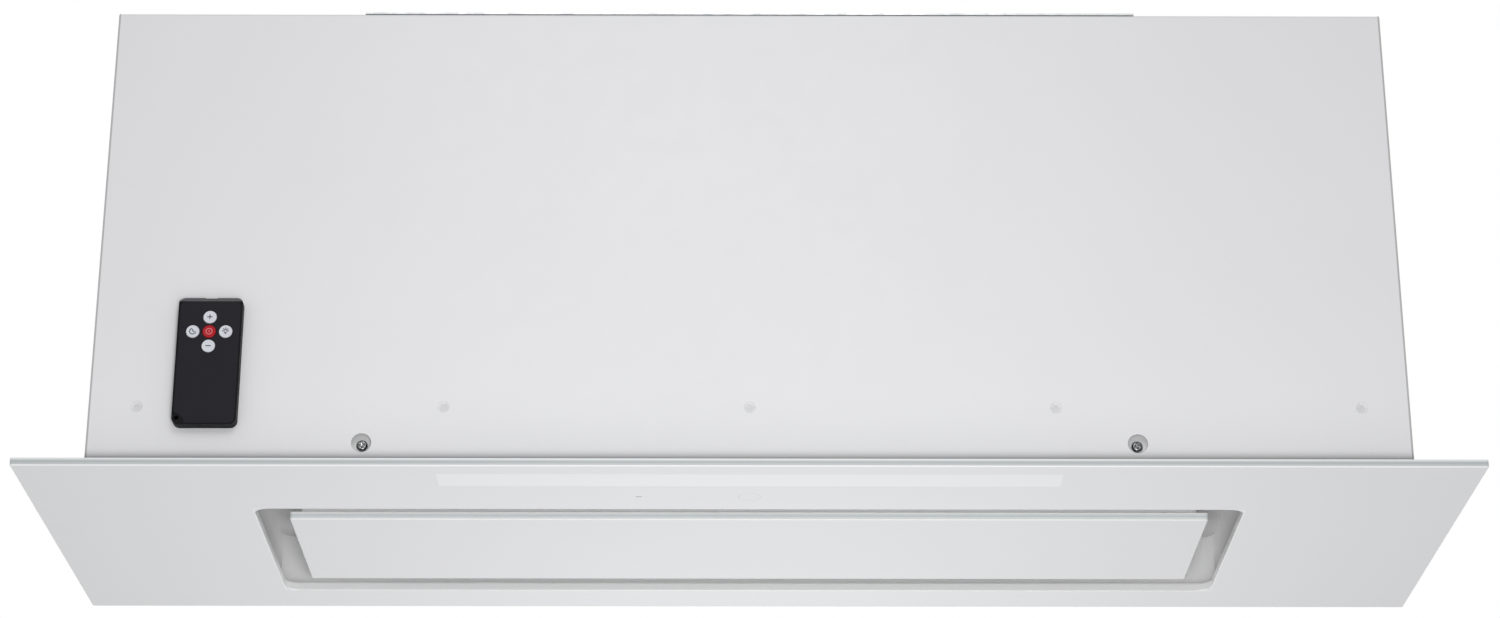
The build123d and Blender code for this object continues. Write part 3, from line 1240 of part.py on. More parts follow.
def face_outline(inset=0.0):
    """Outline of the face plate, which leaves the bevel and the lanyard's corner free."""
    wide = REMOTE_WIDTH - 2 * (REMOTE_RIM + inset)
    high = REMOTE_LENGTH - REMOTE_RIM - REMOTE_BEVEL - 2 * inset
    plate = Pos(0, (REMOTE_RIM - REMOTE_BEVEL) / 2) * RectangleRounded(wide, high, REMOTE_FACE_CORNER)
    return plate - lanyard_corner(LANYARD_RADIUS + inset)


def lanyard_corner(radius):
    """Disc about the remote's lower left corner."""
    return Pos(-REMOTE_WIDTH / 2, -REMOTE_LENGTH / 2) * RegularPolygon(radius, TURNED_SIDES)


def lanyard_hole():
    """Cord hole in the corner that the face plate leaves free."""
    x = remote_x - REMOTE_WIDTH / 2 + LANYARD_HOLE_X
    hole = flatted(LANYARD_HOLE_RADIUS, REMOTE_THICK, sides=ROUND_SIDES)
    return along_y(x, remote_front, REMOTE_RISE + LANYARD_HOLE_Z) * hole


def button_places():
    """Centres of the five buttons, by name, as (x, z)."""
    return {
        "plus": (remote_x, button_z + BUTTON_PITCH_Z),
        "timer": (remote_x - BUTTON_PITCH_X, button_z),
        "power": (remote_x, button_z),
        "light": (remote_x + BUTTON_PITCH_X, button_z),
        "minus": (remote_x, button_z - BUTTON_PITCH_Z),
    }


def drawer_space():
    """Front and back of the battery drawer's cavity."""
    return remote_front + REMOTE_FACE + REMOTE_SHELL, remote_back - REMOTE_SHELL


def magnet_place():
    """Seat of the holding magnet, between the drawer and the button well."""
    z = REMOTE_RISE + DRAWER_LENGTH + REMOTE_MAGNET_GAP + REMOTE_MAGNET_RADIUS
    return along_y(remote_x, remote_back, z, -1)


def remote_bevel():
    """Wedge taken off the upper end's front edge, and the infrared diode's notch in it."""
    wedge = make_face(Polyline(
        (remote_front - OVERCUT, remote_top - REMOTE_BEVEL),
        (remote_front, remote_top - REMOTE_BEVEL),
        (remote_front + REMOTE_BEVEL_DEPTH, remote_top),
        (remote_front + REMOTE_BEVEL_DEPTH, remote_top + OVERCUT),
        (remote_front - OVERCUT, remote_top + OVERCUT),
        close=True,
    ))
    wedge = Pos(remote_x, 0, 0) * extrude(Plane.YZ * wedge, REMOTE_WIDTH, both=True)
    half = WINDOW_WIDTH / 2
    back = remote_front + REMOTE_BEVEL_DEPTH + WINDOW_DEPTH
    low, high = remote_top - WINDOW_DEPTH, remote_top + OVERCUT
    return wedge + block(remote_x - half, remote_x + half, remote_front, back, low, high)


def remote_case():
    """Case with its beds for the face plate, the buttons, the battery drawer and the magnet."""
    case = upright(RectangleRounded(REMOTE_WIDTH, REMOTE_LENGTH, REMOTE_CORNER), remote_front, REMOTE_THICK)
    case -= upright(face_outline(), remote_front, REMOTE_FACE)
    case -= upright(lanyard_corner(LANYARD_RADIUS), remote_front, LANYARD_STEP)
    case -= remote_bevel()
    high, low = drawer_space()
    half = DRAWER_WIDTH / 2 + DRAWER_PLAY
    drawer_top = REMOTE_RISE + DRAWER_LENGTH + DRAWER_PLAY
    case -= block(remote_x - half, remote_x + half, high, low, REMOTE_RISE - OVERCUT, drawer_top)
    front = remote_front + REMOTE_FACE
    floor = front + BUTTON_GAP + BUTTON_RIM_THICK + BUTTON_TRAVEL + WELL_DEPTH
    wide = BUTTON_PITCH_X + BUTTON_RADIUS + WELL_MARGIN
    high = BUTTON_PITCH_Z + BUTTON_RADIUS + WELL_MARGIN
    case -= block(remote_x - wide, remote_x + wide, front, floor, button_z - high, button_z + high)
    for x, z in button_places().values():
        case += along_y(x, floor, z, -1) * flatted(DOME_RADIUS, DOME_HEIGHT)
    return case - remote_magnet() - lanyard_hole()


def remote_magnet():
    """Disc magnet let into the remote's back."""
    return magnet_place() * flatted(REMOTE_MAGNET_RADIUS, REMOTE_MAGNET_THICK, sides=ROUND_SIDES)


def remote_face():
    """Face plate with its five button holes."""
    face = upright(face_outline(REMOTE_FACE_PLAY), remote_front, REMOTE_FACE)
    hole = flatted(BUTTON_RADIUS + BUTTON_GAP, REMOTE_FACE, sides=ROUND_SIDES)
    for x, z in button_places().values():
        face -= along_y(x, remote_front, z) * hole
    return face


def remote_button(name):
    """Round button with a broken edge and the rim that keeps it behind the face plate."""
    x, z = button_places()[name]
    height = REMOTE_FACE + BUTTON_GAP + BUTTON_PROUD
    edge = [(BUTTON_RADIUS, height - BUTTON_EDGE), (BUTTON_RADIUS - BUTTON_EDGE, height)]
    cap = turned([(BUTTON_RADIUS, 0)] + edge, ROUND_SIDES)
    rim = flatted(BUTTON_RADIUS + BUTTON_RIM, BUTTON_RIM_THICK, sides=ROUND_SIDES)
    place = along_y(x, remote_front + REMOTE_FACE + BUTTON_GAP, z, -1)
    return place * (cap + Pos(0, 0, -BUTTON_RIM_THICK) * rim)


def cell_place():
    """Seat of the coin cell on the drawer's floor."""
    z = REMOTE_RISE + DRAWER_LENGTH - CELL_RADIUS - CELL_FROM_END
    return along_y(remote_x, drawer_space()[1] - DRAWER_PLAY - CELL_FLOOR, z, -1)


def battery_drawer():
    """Tray that slides out of the remote's lower end, with the coin cell's round seat."""
    high, low = drawer_space()
    play = DRAWER_PLAY
    half = DRAWER_WIDTH / 2
    top = REMOTE_RISE + DRAWER_LENGTH
    drawer = block(remote_x - half, remote_x + half, high + play, low - play, REMOTE_RISE, top)
    drawer -= cell_place() * flatted(CELL_RADIUS + CELL_PLAY, REMOTE_THICK, sides=TURNED_SIDES)
    half = DRAWER_SLOT / 2
    low, top = REMOTE_RISE - OVERCUT, REMOTE_RISE + DRAWER_SLOT_HEIGHT
    return drawer - block(remote_x - half, remote_x + half, high, high + DRAWER_SLOT_DEPTH, low, top)


def coin_cell():
    """Coin cell lying in the drawer."""
    return cell_place() * flatted(CELL_RADIUS, CELL_THICK, sides=TURNED_SIDES)


# ---- Every node --------------------------------------------------------------------------
def nodes():
    """Every separate piece or group of like pieces, by node name."""
    return {
        "front_panel": long_panel(-1, "front"),
        "rear_panel": long_panel(1, "rear"),
        "side_panel_left": side_panel(-1),
        "side_panel_right": side_panel(1),
        "top_panel": top_panel(),
        "hanger_plates": hanger_plates(),
        "motor_plate": motor_plate(),
        "plenum_floor": plenum_floor(),
        "recess_liner": recess_liner(),
        "fascia_glass": fascia_glass(),
        "fascia_frame": fascia_frame(),
        "fascia_screws": fascia_screws(),
        "body_rivets": body_rivets(),
        "cover_screws": cover_screws(),
        "led_diffuser": led_diffuser(),
        "led_board": led_board(),
        "led_profile": led_profile(),
        "touch_sensor": touch_sensor(),
        "infrared_receiver": infrared_receiver(),
        "panel_glass": panel_glass(),
        "panel_tray": panel_tray(),
        "catch_strikes": catch_strikes(),
        "hinge_brackets": hinge_brackets(),
        "hinge_pins": hinge_pins(),
        "catch_brackets": catch_brackets(),
        "catch_magnets": catch_magnets(),
        "filter_frame": filter_frame(),
        "filter_mesh": filter_mesh(),
        "filter_latch": filter_latch(),
        "scroll_wrap": scroll_wrap(),
        "scroll_side_left": scroll_side(-1),
        "scroll_side_right": scroll_side(1),
        "inlet_ring_left": inlet_ring(-1),
        "inlet_ring_right": inlet_ring(1),
        "impeller": impeller(),
        "impeller_disc": impeller_disc(),
        "motor_shaft": motor_shaft(),
        "motor": motor(),
        "motor_bracket": motor_bracket(),
        "outlet_transition": outlet_transition(),
        "duct_spigot": duct_spigot(),
        "flap_pin": flap_pin(),
        "damper_flap_front": damper_flap(-1),
        "damper_flap_rear": damper_flap(1),
        "control_box": control_box(),
        "control_box_lid": control_box_lid(),
        "control_board": control_board(),
        "terminal_block": terminal_block(),
        "motor_capacitor": motor_capacitor(),
        "cable_gland": cable_gland(),
        "remote_case": remote_case(),
        "remote_face": remote_face(),
        "remote_magnet": remote_magnet(),
        "battery_drawer": battery_drawer(),
        "coin_cell": coin_cell(),
        "button_plus": remote_button("plus"),
        "button_minus": remote_button("minus"),
        "button_power": remote_button("power"),
        "button_timer": remote_button("timer"),
        "button_light": remote_button("light"),
    }


os.makedirs("parts", exist_ok=True)
for node, shape in nodes().items():
    solids = shape if isinstance(shape, list) else [shape]
    pieces = [solid for piece in solids for solid in piece.solids()]
    export_step(Compound(children=pieces), f"parts/{node}.step")
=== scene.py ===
"""Ceiling range hood: finishes, fine pieces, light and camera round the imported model."""
import json
import logging
import math
from dataclasses import dataclass, field
from enum import Enum
from typing import Sequence

import bpy
import numpy as np
from mathutils import Euler, Matrix, Vector


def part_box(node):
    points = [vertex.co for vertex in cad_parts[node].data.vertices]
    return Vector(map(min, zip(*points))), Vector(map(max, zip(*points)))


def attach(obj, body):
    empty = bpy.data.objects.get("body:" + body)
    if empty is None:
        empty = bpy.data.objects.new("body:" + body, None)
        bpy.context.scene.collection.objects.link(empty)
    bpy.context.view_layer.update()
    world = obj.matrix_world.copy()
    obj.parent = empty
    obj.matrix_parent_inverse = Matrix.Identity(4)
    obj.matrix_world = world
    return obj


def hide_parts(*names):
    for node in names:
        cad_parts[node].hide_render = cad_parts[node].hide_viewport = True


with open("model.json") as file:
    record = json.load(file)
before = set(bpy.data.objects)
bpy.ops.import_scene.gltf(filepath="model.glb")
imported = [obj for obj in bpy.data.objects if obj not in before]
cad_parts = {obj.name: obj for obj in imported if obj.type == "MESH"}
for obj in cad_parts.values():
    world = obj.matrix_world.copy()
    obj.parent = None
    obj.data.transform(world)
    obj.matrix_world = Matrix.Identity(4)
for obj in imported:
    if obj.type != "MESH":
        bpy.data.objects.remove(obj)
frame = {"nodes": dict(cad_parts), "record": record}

LOG = logging.getLogger("hood")
MM = 0.001
MERGE_DIGITS = 6
ROUND_SIDES = 64
HEXAGON = 6
MIX_INPUTS = (0, 6, 7)
MIX_COLOUR = 2
Colour = tuple[float, float, float]


# ---- Surfaces ------------------------------------------------------------------------------
@dataclass
class Surface:
    """Points and faces of one mesh, in metres, in the hood's own frame."""

    points: np.ndarray
    faces: list

    def placed(self, place: Matrix) -> "Surface":
        """This surface moved by a place.

        Args:
            place: Turn and shift to apply.

        Returns:
            The moved surface.
        """
        turn = np.array(place)
        return Surface(self.points @ turn[:3, :3].T + turn[:3, 3], self.faces)

    def repeated(self, places: Sequence[Matrix]) -> "Surface":
        """One surface that holds a copy of this one at every place.

        Args:
            places: Turns and shifts of the copies.

        Returns:
            The copies as one surface.
        """
        return gathered([self.placed(place) for place in places])

    def piece(
        self, name: str, finish: bpy.types.Material, body: str, slot: str, smooth: float = 35.0
    ) -> bpy.types.Object:
        """Make the Blender object and let it ride.

        Args:
            name: Name of the piece.
            finish: Its material.
            body: CAD body that it rides on.
            slot: Material slot in the record; not used.
            smooth: Angle in degrees below which neighbouring faces shade as one.

        Returns:
            The object.
        """
        mesh = bpy.data.meshes.new(name)
        mesh.from_pydata(self.points.tolist(), [], self.faces)
        mesh.validate()
        mesh.materials.append(finish)
        made = bpy.data.objects.new(name, mesh)
        bpy.context.scene.collection.objects.link(made)
        if smooth > 0:
            mesh.shade_smooth()
            mesh.set_sharp_from_angle(angle=math.radians(smooth))
        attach(made, body)
        LOG.info("%s: %d faces on %s", name, len(self.faces), body)
        return made


def gathered(parts: Sequence[Surface]) -> Surface:
    """Join surfaces into one by stacking points and shifting each face's numbers.

    Args:
        parts: Surfaces to join.

    Returns:
        One surface.
    """
    points = np.concatenate([part.points for part in parts])
    starts = np.cumsum([0] + [len(part.points) for part in parts[:-1]])
    faces = [
        tuple(int(number + start) for number in face)
        for part, start in zip(parts, starts)
        for face in part.faces
    ]
    return Surface(points, faces)


def grid(points: np.ndarray, closed: bool = False) -> Surface:
    """Surface over a (rows, columns, 3) grid: each cell of neighbouring points is a face.

    Args:
        points: Grid of points; columns run round a section, rows run along the form.
        closed: Whether the last row joins the first; otherwise both end rows are filled.

    Returns:
        The surface, its faces outwards where columns turn left about the way of the rows.
    """
    rows, columns = points.shape[:2]
    low = np.arange(rows if closed else rows - 1)[:, None]
    left = np.arange(columns)[None, :]
    high, right = (low + 1) % rows, (left + 1) % columns
    corners = ((low, left), (low, right), (high, right), (high, left))
    cells = np.stack([row * columns + column for row, column in corners], -1)
    faces = [tuple(cell) for cell in cells.reshape(-1, len(corners)).tolist()]
    if not closed:
        faces.append(tuple(range(columns - 1, -1, -1)))
        faces.append(tuple(range((rows - 1) * columns, rows * columns)))
    return Surface(points.reshape(-1, 3), faces)


def lathe(profile: Sequence[tuple[float, float]], sides: int = ROUND_SIDES) -> Surface:
    """Turn a profile about Z: point (r, z) goes to (r cos a, r sin a, z) at each angle a.

    Args:
        profile: Radius and height of each point, from the low cap to the high one.
        sides: Steps round the circle.

    Returns:
        The turned surface, filled at both ends.
    """
    line = np.array(profile, float)
    turn = np.linspace(0, 2 * np.pi, sides, endpoint=False)
    points = np.empty((len(line), sides, 3))
    points[..., 0] = line[:, :1] * np.cos(turn)
    points[..., 1] = line[:, :1] * np.sin(turn)
    points[..., 2] = line[:, 1:]
    return grid(points)


def ribbon(path: np.ndarray, width: float, high: float) -> Surface:
    """Flat bar that follows a path in the XY plane: the section steps half the width to each side.

    Args:
        path: (n, 2) points of the middle line.
        width: Width of the bar.
        high: Height of the bar above the XY plane.

    Returns:
        The bar.
    """
    ahead = np.roll(path, -1, 0) - np.roll(path, 1, 0)
    ahead[0], ahead[-1] = path[1] - path[0], path[-1] - path[-2]
    ahead /= np.linalg.norm(ahead, axis=1)[:, None]
    across = np.stack([-ahead[:, 1], ahead[:, 0]], 1) * width / 2
    points = np.zeros((len(path), 4, 3))
    points[:, 0, :2] = points[:, 1, :2] = path - across
    points[:, 2, :2] = points[:, 3, :2] = path + across
    points[:, 1:3, 2] = high
    return grid(points[:, ::-1])


def arc(radius: float, start: float, end: float, steps: int = 24) -> np.ndarray:
    """Points of an arc about the origin, between two angles in degrees."""
    turn = np.radians(np.linspace(start, end, steps))
    return np.stack([radius * np.cos(turn), radius * np.sin(turn)], 1)


def solids_of(node: str) -> tuple[np.ndarray, np.ndarray]:
    """Points of a CAD node and the number of the solid that each belongs to.

    Points that share a place are merged; then every edge gives both of its ends the lower of
    their two numbers, again and again, until each solid has one number.

    Args:
        node: Name of the node.

    Returns:
        (n, 3) points and n numbers.
    """
    target = frame["nodes"][node]
    mesh = target.data
    raw = np.array([target.matrix_world @ vertex.co for vertex in mesh.vertices])
    points, where = np.unique(np.round(raw, MERGE_DIGITS), axis=0, return_inverse=True)
    edges = where.ravel()[np.array([edge.vertices[:] for edge in mesh.edges])]
    number = np.arange(len(points))
    while True:
        lower = number.copy()
        np.minimum.at(lower, edges[:, 0], number[edges[:, 1]])
        np.minimum.at(lower, edges[:, 1], number[edges[:, 0]])
        lower = lower[lower]
        if np.array_equal(lower, number):
            return points, number
        number = lower


def boxes_of(node: str) -> list[tuple[Vector, Vector]]:
    """Low and high corner of every solid in a CAD node.

    Args:
        node: Name of the node.

    Returns:
        Both corners of each solid.
    """
    points, number = solids_of(node)
    groups = [points[number == value] for value in np.unique(number)]
    return [(Vector(group.min(0)), Vector(group.max(0))) for group in groups]


def facing(x: float, y: float, z: float, way: int) -> Matrix:
    """Place that lays a form's Z axis along -Y (way -1) or +Y (way 1), its X axis along the hood's.

    Args:
        x: Place along the hood's length.
        y: Place from front to rear.
        z: Height.
        way: Which way the form's top faces.

    Returns:
        The place.
    """
    return Matrix.Translation((x, y, z)) @ Matrix.Rotation(math.radians(-90 * way), 4, "X")


# ---- Finishes ------------------------------------------------------------------------------
class Grain(Enum):
    """Fine relief and tone of a surface."""

    PEEL = "orange peel of a powder coat"
    SPANGLE = "crystals of hot-dip zinc"
    BRUSHED = "long hair lines"
    MOULDED = "fine spark-eroded grain"
    POLISHED = "almost smooth"


class Shader:
    """Material in the making: adds nodes and links them to one Principled shader."""

    def __init__(self, name: str) -> None:
        """Start an empty material.

        Args:
            name: Name of the material.
        """
        self.material = bpy.data.materials.new(name)
        self.material.use_nodes = True
        self.tree = self.material.node_tree
        self.main = self.tree.nodes["Principled BSDF"]
        self.place = self.tree.nodes.new("ShaderNodeTexCoord").outputs["Object"]

    def node(self, kind: str, inputs: dict | None = None, **settings: object) -> bpy.types.Node:
        """Add a node.

        Args:
            kind: Node type without its ShaderNode prefix.
            inputs: Values or sockets for its inputs, by name or number.
            settings: Values for its own properties.

        Returns:
            The node.
        """
        made = self.tree.nodes.new("ShaderNode" + kind)
        for key, value in settings.items():
            setattr(made, key, value)
        for key, value in (inputs or {}).items():
            if isinstance(value, bpy.types.NodeSocket):
                self.tree.links.new(value, made.inputs[key])
            else:
                made.inputs[key].default_value = value
        return made

    def maths(self, operation: str, *values: object) -> bpy.types.NodeSocket:
        """Result of a Math node on numbers or sockets."""
        return self.node("Math", dict(enumerate(values)), operation=operation).outputs[0]

    def axes(self) -> tuple:
        """Sockets of the Object coordinates X, Y and Z."""
        return tuple(self.node("SeparateXYZ", {0: self.place}).outputs)

    def noise(
        self, scale: float, detail: float = 2.0, stretch: Colour = (1, 1, 1)
    ) -> bpy.types.NodeSocket:
        """Noise on Object coordinates.

        Args:
            scale: Grains to the metre.
            detail: Octaves of the noise.
            stretch: Factors on each axis.

        Returns:
            The noise's value.
        """
        place = self.node("Mapping", {"Vector": self.place, "Scale": stretch}).outputs[0]
        return self.node("TexNoise", {"Vector": place, "Scale": scale, "Detail": detail}).outputs[0]

    def ramp(
        self, value: bpy.types.NodeSocket, low: float, high: float, start: float, end: float
    ) -> bpy.types.NodeSocket:
        """Map a value from low..high to start..end, held at both ends."""
        inputs = {"Value": value, "From Min": low, "From Max": high, "To Min": start, "To Max": end}
        return self.node("MapRange", inputs, clamp=True).outputs[0]

    def mixed(self, share: object, first: object, second: object) -> bpy.types.NodeSocket:
        """Colour between two colours or sockets.

        Args:
            share: 0 for the first, 1 for the second.
            first: Colour or socket.
            second: Colour or socket.

        Returns:
            The mixed colour.
        """
        mix = self.node("Mix", data_type="RGBA")
        for number, value in zip(MIX_INPUTS, (share, first, second)):
            if isinstance(value, bpy.types.NodeSocket):
                self.tree.links.new(value, mix.inputs[number])
            else:
                mix.inputs[number].default_value = value if number == 0 else (*value, 1.0)
        return mix.outputs[MIX_COLOUR]

    def inside(self, centre: tuple[float, float], half: tuple[float, float]) -> bpy.types.NodeSocket:
        """1 inside a rectangle in the XY plane, 0 outside.

        Args:
            centre: Middle of the rectangle.
            half: Half of each side.

        Returns:
            The socket.
        """
        x, y = self.axes()[:2]
        near_x = self.maths("COMPARE", x, centre[0], half[0])
        return self.maths("MULTIPLY", near_x, self.maths("COMPARE", y, centre[1], half[1]))

    def border(
        self, centre: tuple[float, float], half: tuple[float, float], width: float
    ) -> bpy.types.NodeSocket:
        """1 on a strip just inside the sides of a rectangle in the XY plane, 0 elsewhere."""
        core = self.inside(centre, (half[0] - width, half[1] - width))
        return self.maths("SUBTRACT", self.inside(centre, half), core)

    def bands(
        self, value: bpy.types.NodeSocket, stops: Sequence[tuple[float, Colour]]
    ) -> bpy.types.NodeSocket:
        """Colour that runs straight from each stop to the next one.

        Args:
            value: Share from 0 to 1.
            stops: Share and colour of each stop.

        Returns:
            The colour.
        """
        made = self.node("ValToRGB", {0: value})
        stretch = made.color_ramp.elements
        while len(stretch) < len(stops):
            stretch.new(0.5)
        for element, (share, colour) in zip(stretch, stops):
            element.position, element.color = share, (*colour, 1.0)
        return made.outputs[0]

    def ringed(
        self, centre: tuple[float, float], radius: float, width: float
    ) -> bpy.types.NodeSocket:
        """1 on a thin circle in the XY plane, 0 elsewhere.

        Args:
            centre: Middle of the circle.
            radius: Its radius.
            width: Width of the line.

        Returns:
            The socket.
        """
        sides = [self.maths("SUBTRACT", *pair) for pair in zip(self.axes(), centre)]
        squares = [self.maths("MULTIPLY", side, side) for side in sides]
        far = self.maths("SQRT", self.maths("ADD", *squares))
        return self.maths("COMPARE", far, radius, width / 2)

    def relief(self, height: bpy.types.NodeSocket, depth: float, strength: float = 1.0) -> None:
        """Bump the surface by a height field."""
        bump = self.node("Bump", {"Height": height, "Distance": depth, "Strength": strength})
        self.tree.links.new(bump.outputs[0], self.main.inputs["Normal"])

    def feed(self, **sockets: object) -> bpy.types.Material:
        """Set or link inputs of the Principled shader.

        Args:
            sockets: Values or sockets, by the input's name with underscores for spaces.

        Returns:
            The material.
        """
        for key, value in sockets.items():
            socket = self.main.inputs[key.replace("_", " ")]
            if isinstance(value, bpy.types.NodeSocket):
                self.tree.links.new(value, socket)
            else:
                socket.default_value = value
        return self.material


def looked_at(tree: bpy.types.NodeTree) -> bpy.types.NodeSocket:
    """1 where the camera, a reflection or a see-through piece looks, 0 for light that spreads.

    Args:
        tree: Node tree of the material or the world.

    Returns:
        The socket.
    """
    paths = tree.nodes.new("ShaderNodeLightPath").outputs
    seen = paths["Is Camera Ray"]
    for name in ("Is Glossy Ray", "Is Transmission Ray"):
        either = tree.nodes.new("ShaderNodeMath")
        either.operation = "MAXIMUM"
        tree.links.new(seen, either.inputs[0])
        tree.links.new(paths[name], either.inputs[1])
        seen = either.outputs[0]
    return seen


@dataclass(frozen=True)
class Relief:
    """Fine bump of one grain: noise to the metre, its octaves, depth in metres and strength."""

    scale: float
    detail: float
    depth: float
    strength: float
    stretch: Colour = (1.0, 1.0, 1.0)


@dataclass(frozen=True)
class Crystals:
    """Zinc crystals: cells to the metre, how far they darken, and how their sheen varies."""

    scale: float = 160.0
    low: float = 0.2
    high: float = 0.8
    share: float = 0.35
    darker: float = 0.72
    smoothest: float = 0.8
    roughest: float = 1.2
    depth: float = 0.00002
    strength: float = 0.4


RELIEFS = {
    Grain.PEEL: Relief(900.0, 1.0, 0.00004, 0.5),
    Grain.BRUSHED: Relief(500.0, 3.0, 0.00003, 0.5, (0.02, 1.0, 1.0)),
    Grain.MOULDED: Relief(2500.0, 1.0, 0.00003, 0.6),
    Grain.POLISHED: Relief(25.0, 1.0, 0.00001, 0.3),
}
CRYSTALS = Crystals()
CLOUD_SCALE, CLOUD_DETAIL = 9.0, 3.0
WEAR_SCALE = 60.0
NOISE_LOW, NOISE_HIGH = 0.3, 0.7
WEAR_LOW, WEAR_HIGH = 0.9, 1.1
COAT_ROUGHNESS = 0.1
PALEST = 0.96


@dataclass(frozen=True)
class Finish:
    """One finish: a base colour with its grain, slight mottle and sheen."""

    name: str
    colour: Colour
    roughness: float
    grain: Grain
    metallic: float = 0.0
    mottle: float = 0.03
    coat: float = 0.0
    gloss: float = 0.5

    def begun(self) -> tuple[Shader, bpy.types.NodeSocket]:
        """Start the material with its grain.

        Returns:
            The shader and the colour's socket, for finishes that paint more on top.
        """
        shader = Shader(self.name)
        cloud = shader.noise(CLOUD_SCALE, CLOUD_DETAIL)
        tone = shader.ramp(cloud, NOISE_LOW, NOISE_HIGH, 0.0, 1.0)
        dark = tuple(c * (1 - self.mottle) for c in self.colour)
        colour = shader.mixed(tone, dark, self.colour)
        if self.grain is Grain.SPANGLE:
            colour, rough = self.crystalled(shader, colour)
        else:
            finest, coarsest = self.roughness * WEAR_LOW, self.roughness * WEAR_HIGH
            rough = shader.ramp(shader.noise(WEAR_SCALE), NOISE_LOW, NOISE_HIGH, finest, coarsest)
            relief = RELIEFS[self.grain]
            height = shader.noise(relief.scale, relief.detail, relief.stretch)
            shader.relief(height, relief.depth, relief.strength)
        shader.feed(Roughness=rough, Metallic=self.metallic, Specular_IOR_Level=self.gloss)
        shader.feed(Coat_Weight=self.coat, Coat_Roughness=COAT_ROUGHNESS)
        return shader, colour

    def crystalled(
        self, shader: Shader, colour: bpy.types.NodeSocket
    ) -> tuple[bpy.types.NodeSocket, bpy.types.NodeSocket]:
        """Break the colour and the sheen up into crystals, each with a tone of its own.

        Args:
            shader: The material in the making.
            colour: Its colour so far.

        Returns:
            The colour and the roughness.
        """
        cells = shader.node("TexVoronoi", {"Vector": shader.place, "Scale": CRYSTALS.scale})
        grey = shader.node("RGBToBW", {0: cells.outputs["Color"]}).outputs[0]
        flake = shader.ramp(grey, CRYSTALS.low, CRYSTALS.high, 0.0, CRYSTALS.share)
        colour = shader.mixed(flake, colour, tuple(c * CRYSTALS.darker for c in self.colour))
        finest, coarsest = self.roughness * CRYSTALS.smoothest, self.roughness * CRYSTALS.roughest
        rough = shader.ramp(grey, CRYSTALS.low, CRYSTALS.high, finest, coarsest)
        shader.relief(cells.outputs["Distance"], CRYSTALS.depth, CRYSTALS.strength)
        return colour, rough

    def made(self) -> bpy.types.Material:
        """The finished material."""
        shader, colour = self.begun()
        return shader.feed(Base_Color=colour)


@dataclass(frozen=True)
class CasingPaint(Finish):
    """White powder coat of the casing, with painted shade at the ends of its long faces and at its foot."""

    half_width: float = 0.41
    half_depth: float = 0.118
    edge: float = 0.0012
    # Painted shade: grey of the strip at each end of the long faces.
    edge_shade_colour: Colour = (0.46, 0.46, 0.47)
    # Painted shade in the corner over the glass: its height, reach, share and colour.
    foot: float = 0.0138
    foot_reach: float = 0.0024
    foot_shade_share: float = 0.85
    foot_shade_colour: Colour = (0.03, 0.03, 0.03)

    def made(self) -> bpy.types.Material:
        """The finished material.

        The last strip at each end of the long faces takes a grey, painted shade for the corner bends. Painted
        shade darkens the corner over the glass: its share falls with height as exp(-(z - foot) / reach).

        Returns:
            The material.
        """
        shader, colour = self.begun()
        x, y, z = shader.axes()
        at_end = shader.maths("GREATER_THAN", shader.maths("ABSOLUTE", x), self.half_width - self.edge)
        at_face = shader.maths("GREATER_THAN", shader.maths("ABSOLUTE", y), self.half_depth - self.edge)
        # Painted shade along the ends of the long faces.
        edge_shade = shader.maths("MULTIPLY", at_end, at_face)
        colour = shader.mixed(edge_shade, colour, self.edge_shade_colour)
        # Painted shade in the corner over the glass, fading with height.
        above = shader.maths("MAXIMUM", shader.maths("SUBTRACT", z, self.foot), 0.0)
        fall = shader.maths("EXPONENT", shader.maths("MULTIPLY", above, -1 / self.foot_reach))
        corner = shader.maths("MULTIPLY", fall, self.foot_shade_share)
        return shader.feed(Base_Color=shader.mixed(corner, colour, self.foot_shade_colour))


def shaded(colour: Colour, factor: float) -> Colour:
    """A colour made lighter or darker, held under the palest that a surface can be."""
    return tuple(min(PALEST, channel * factor) for channel in colour)


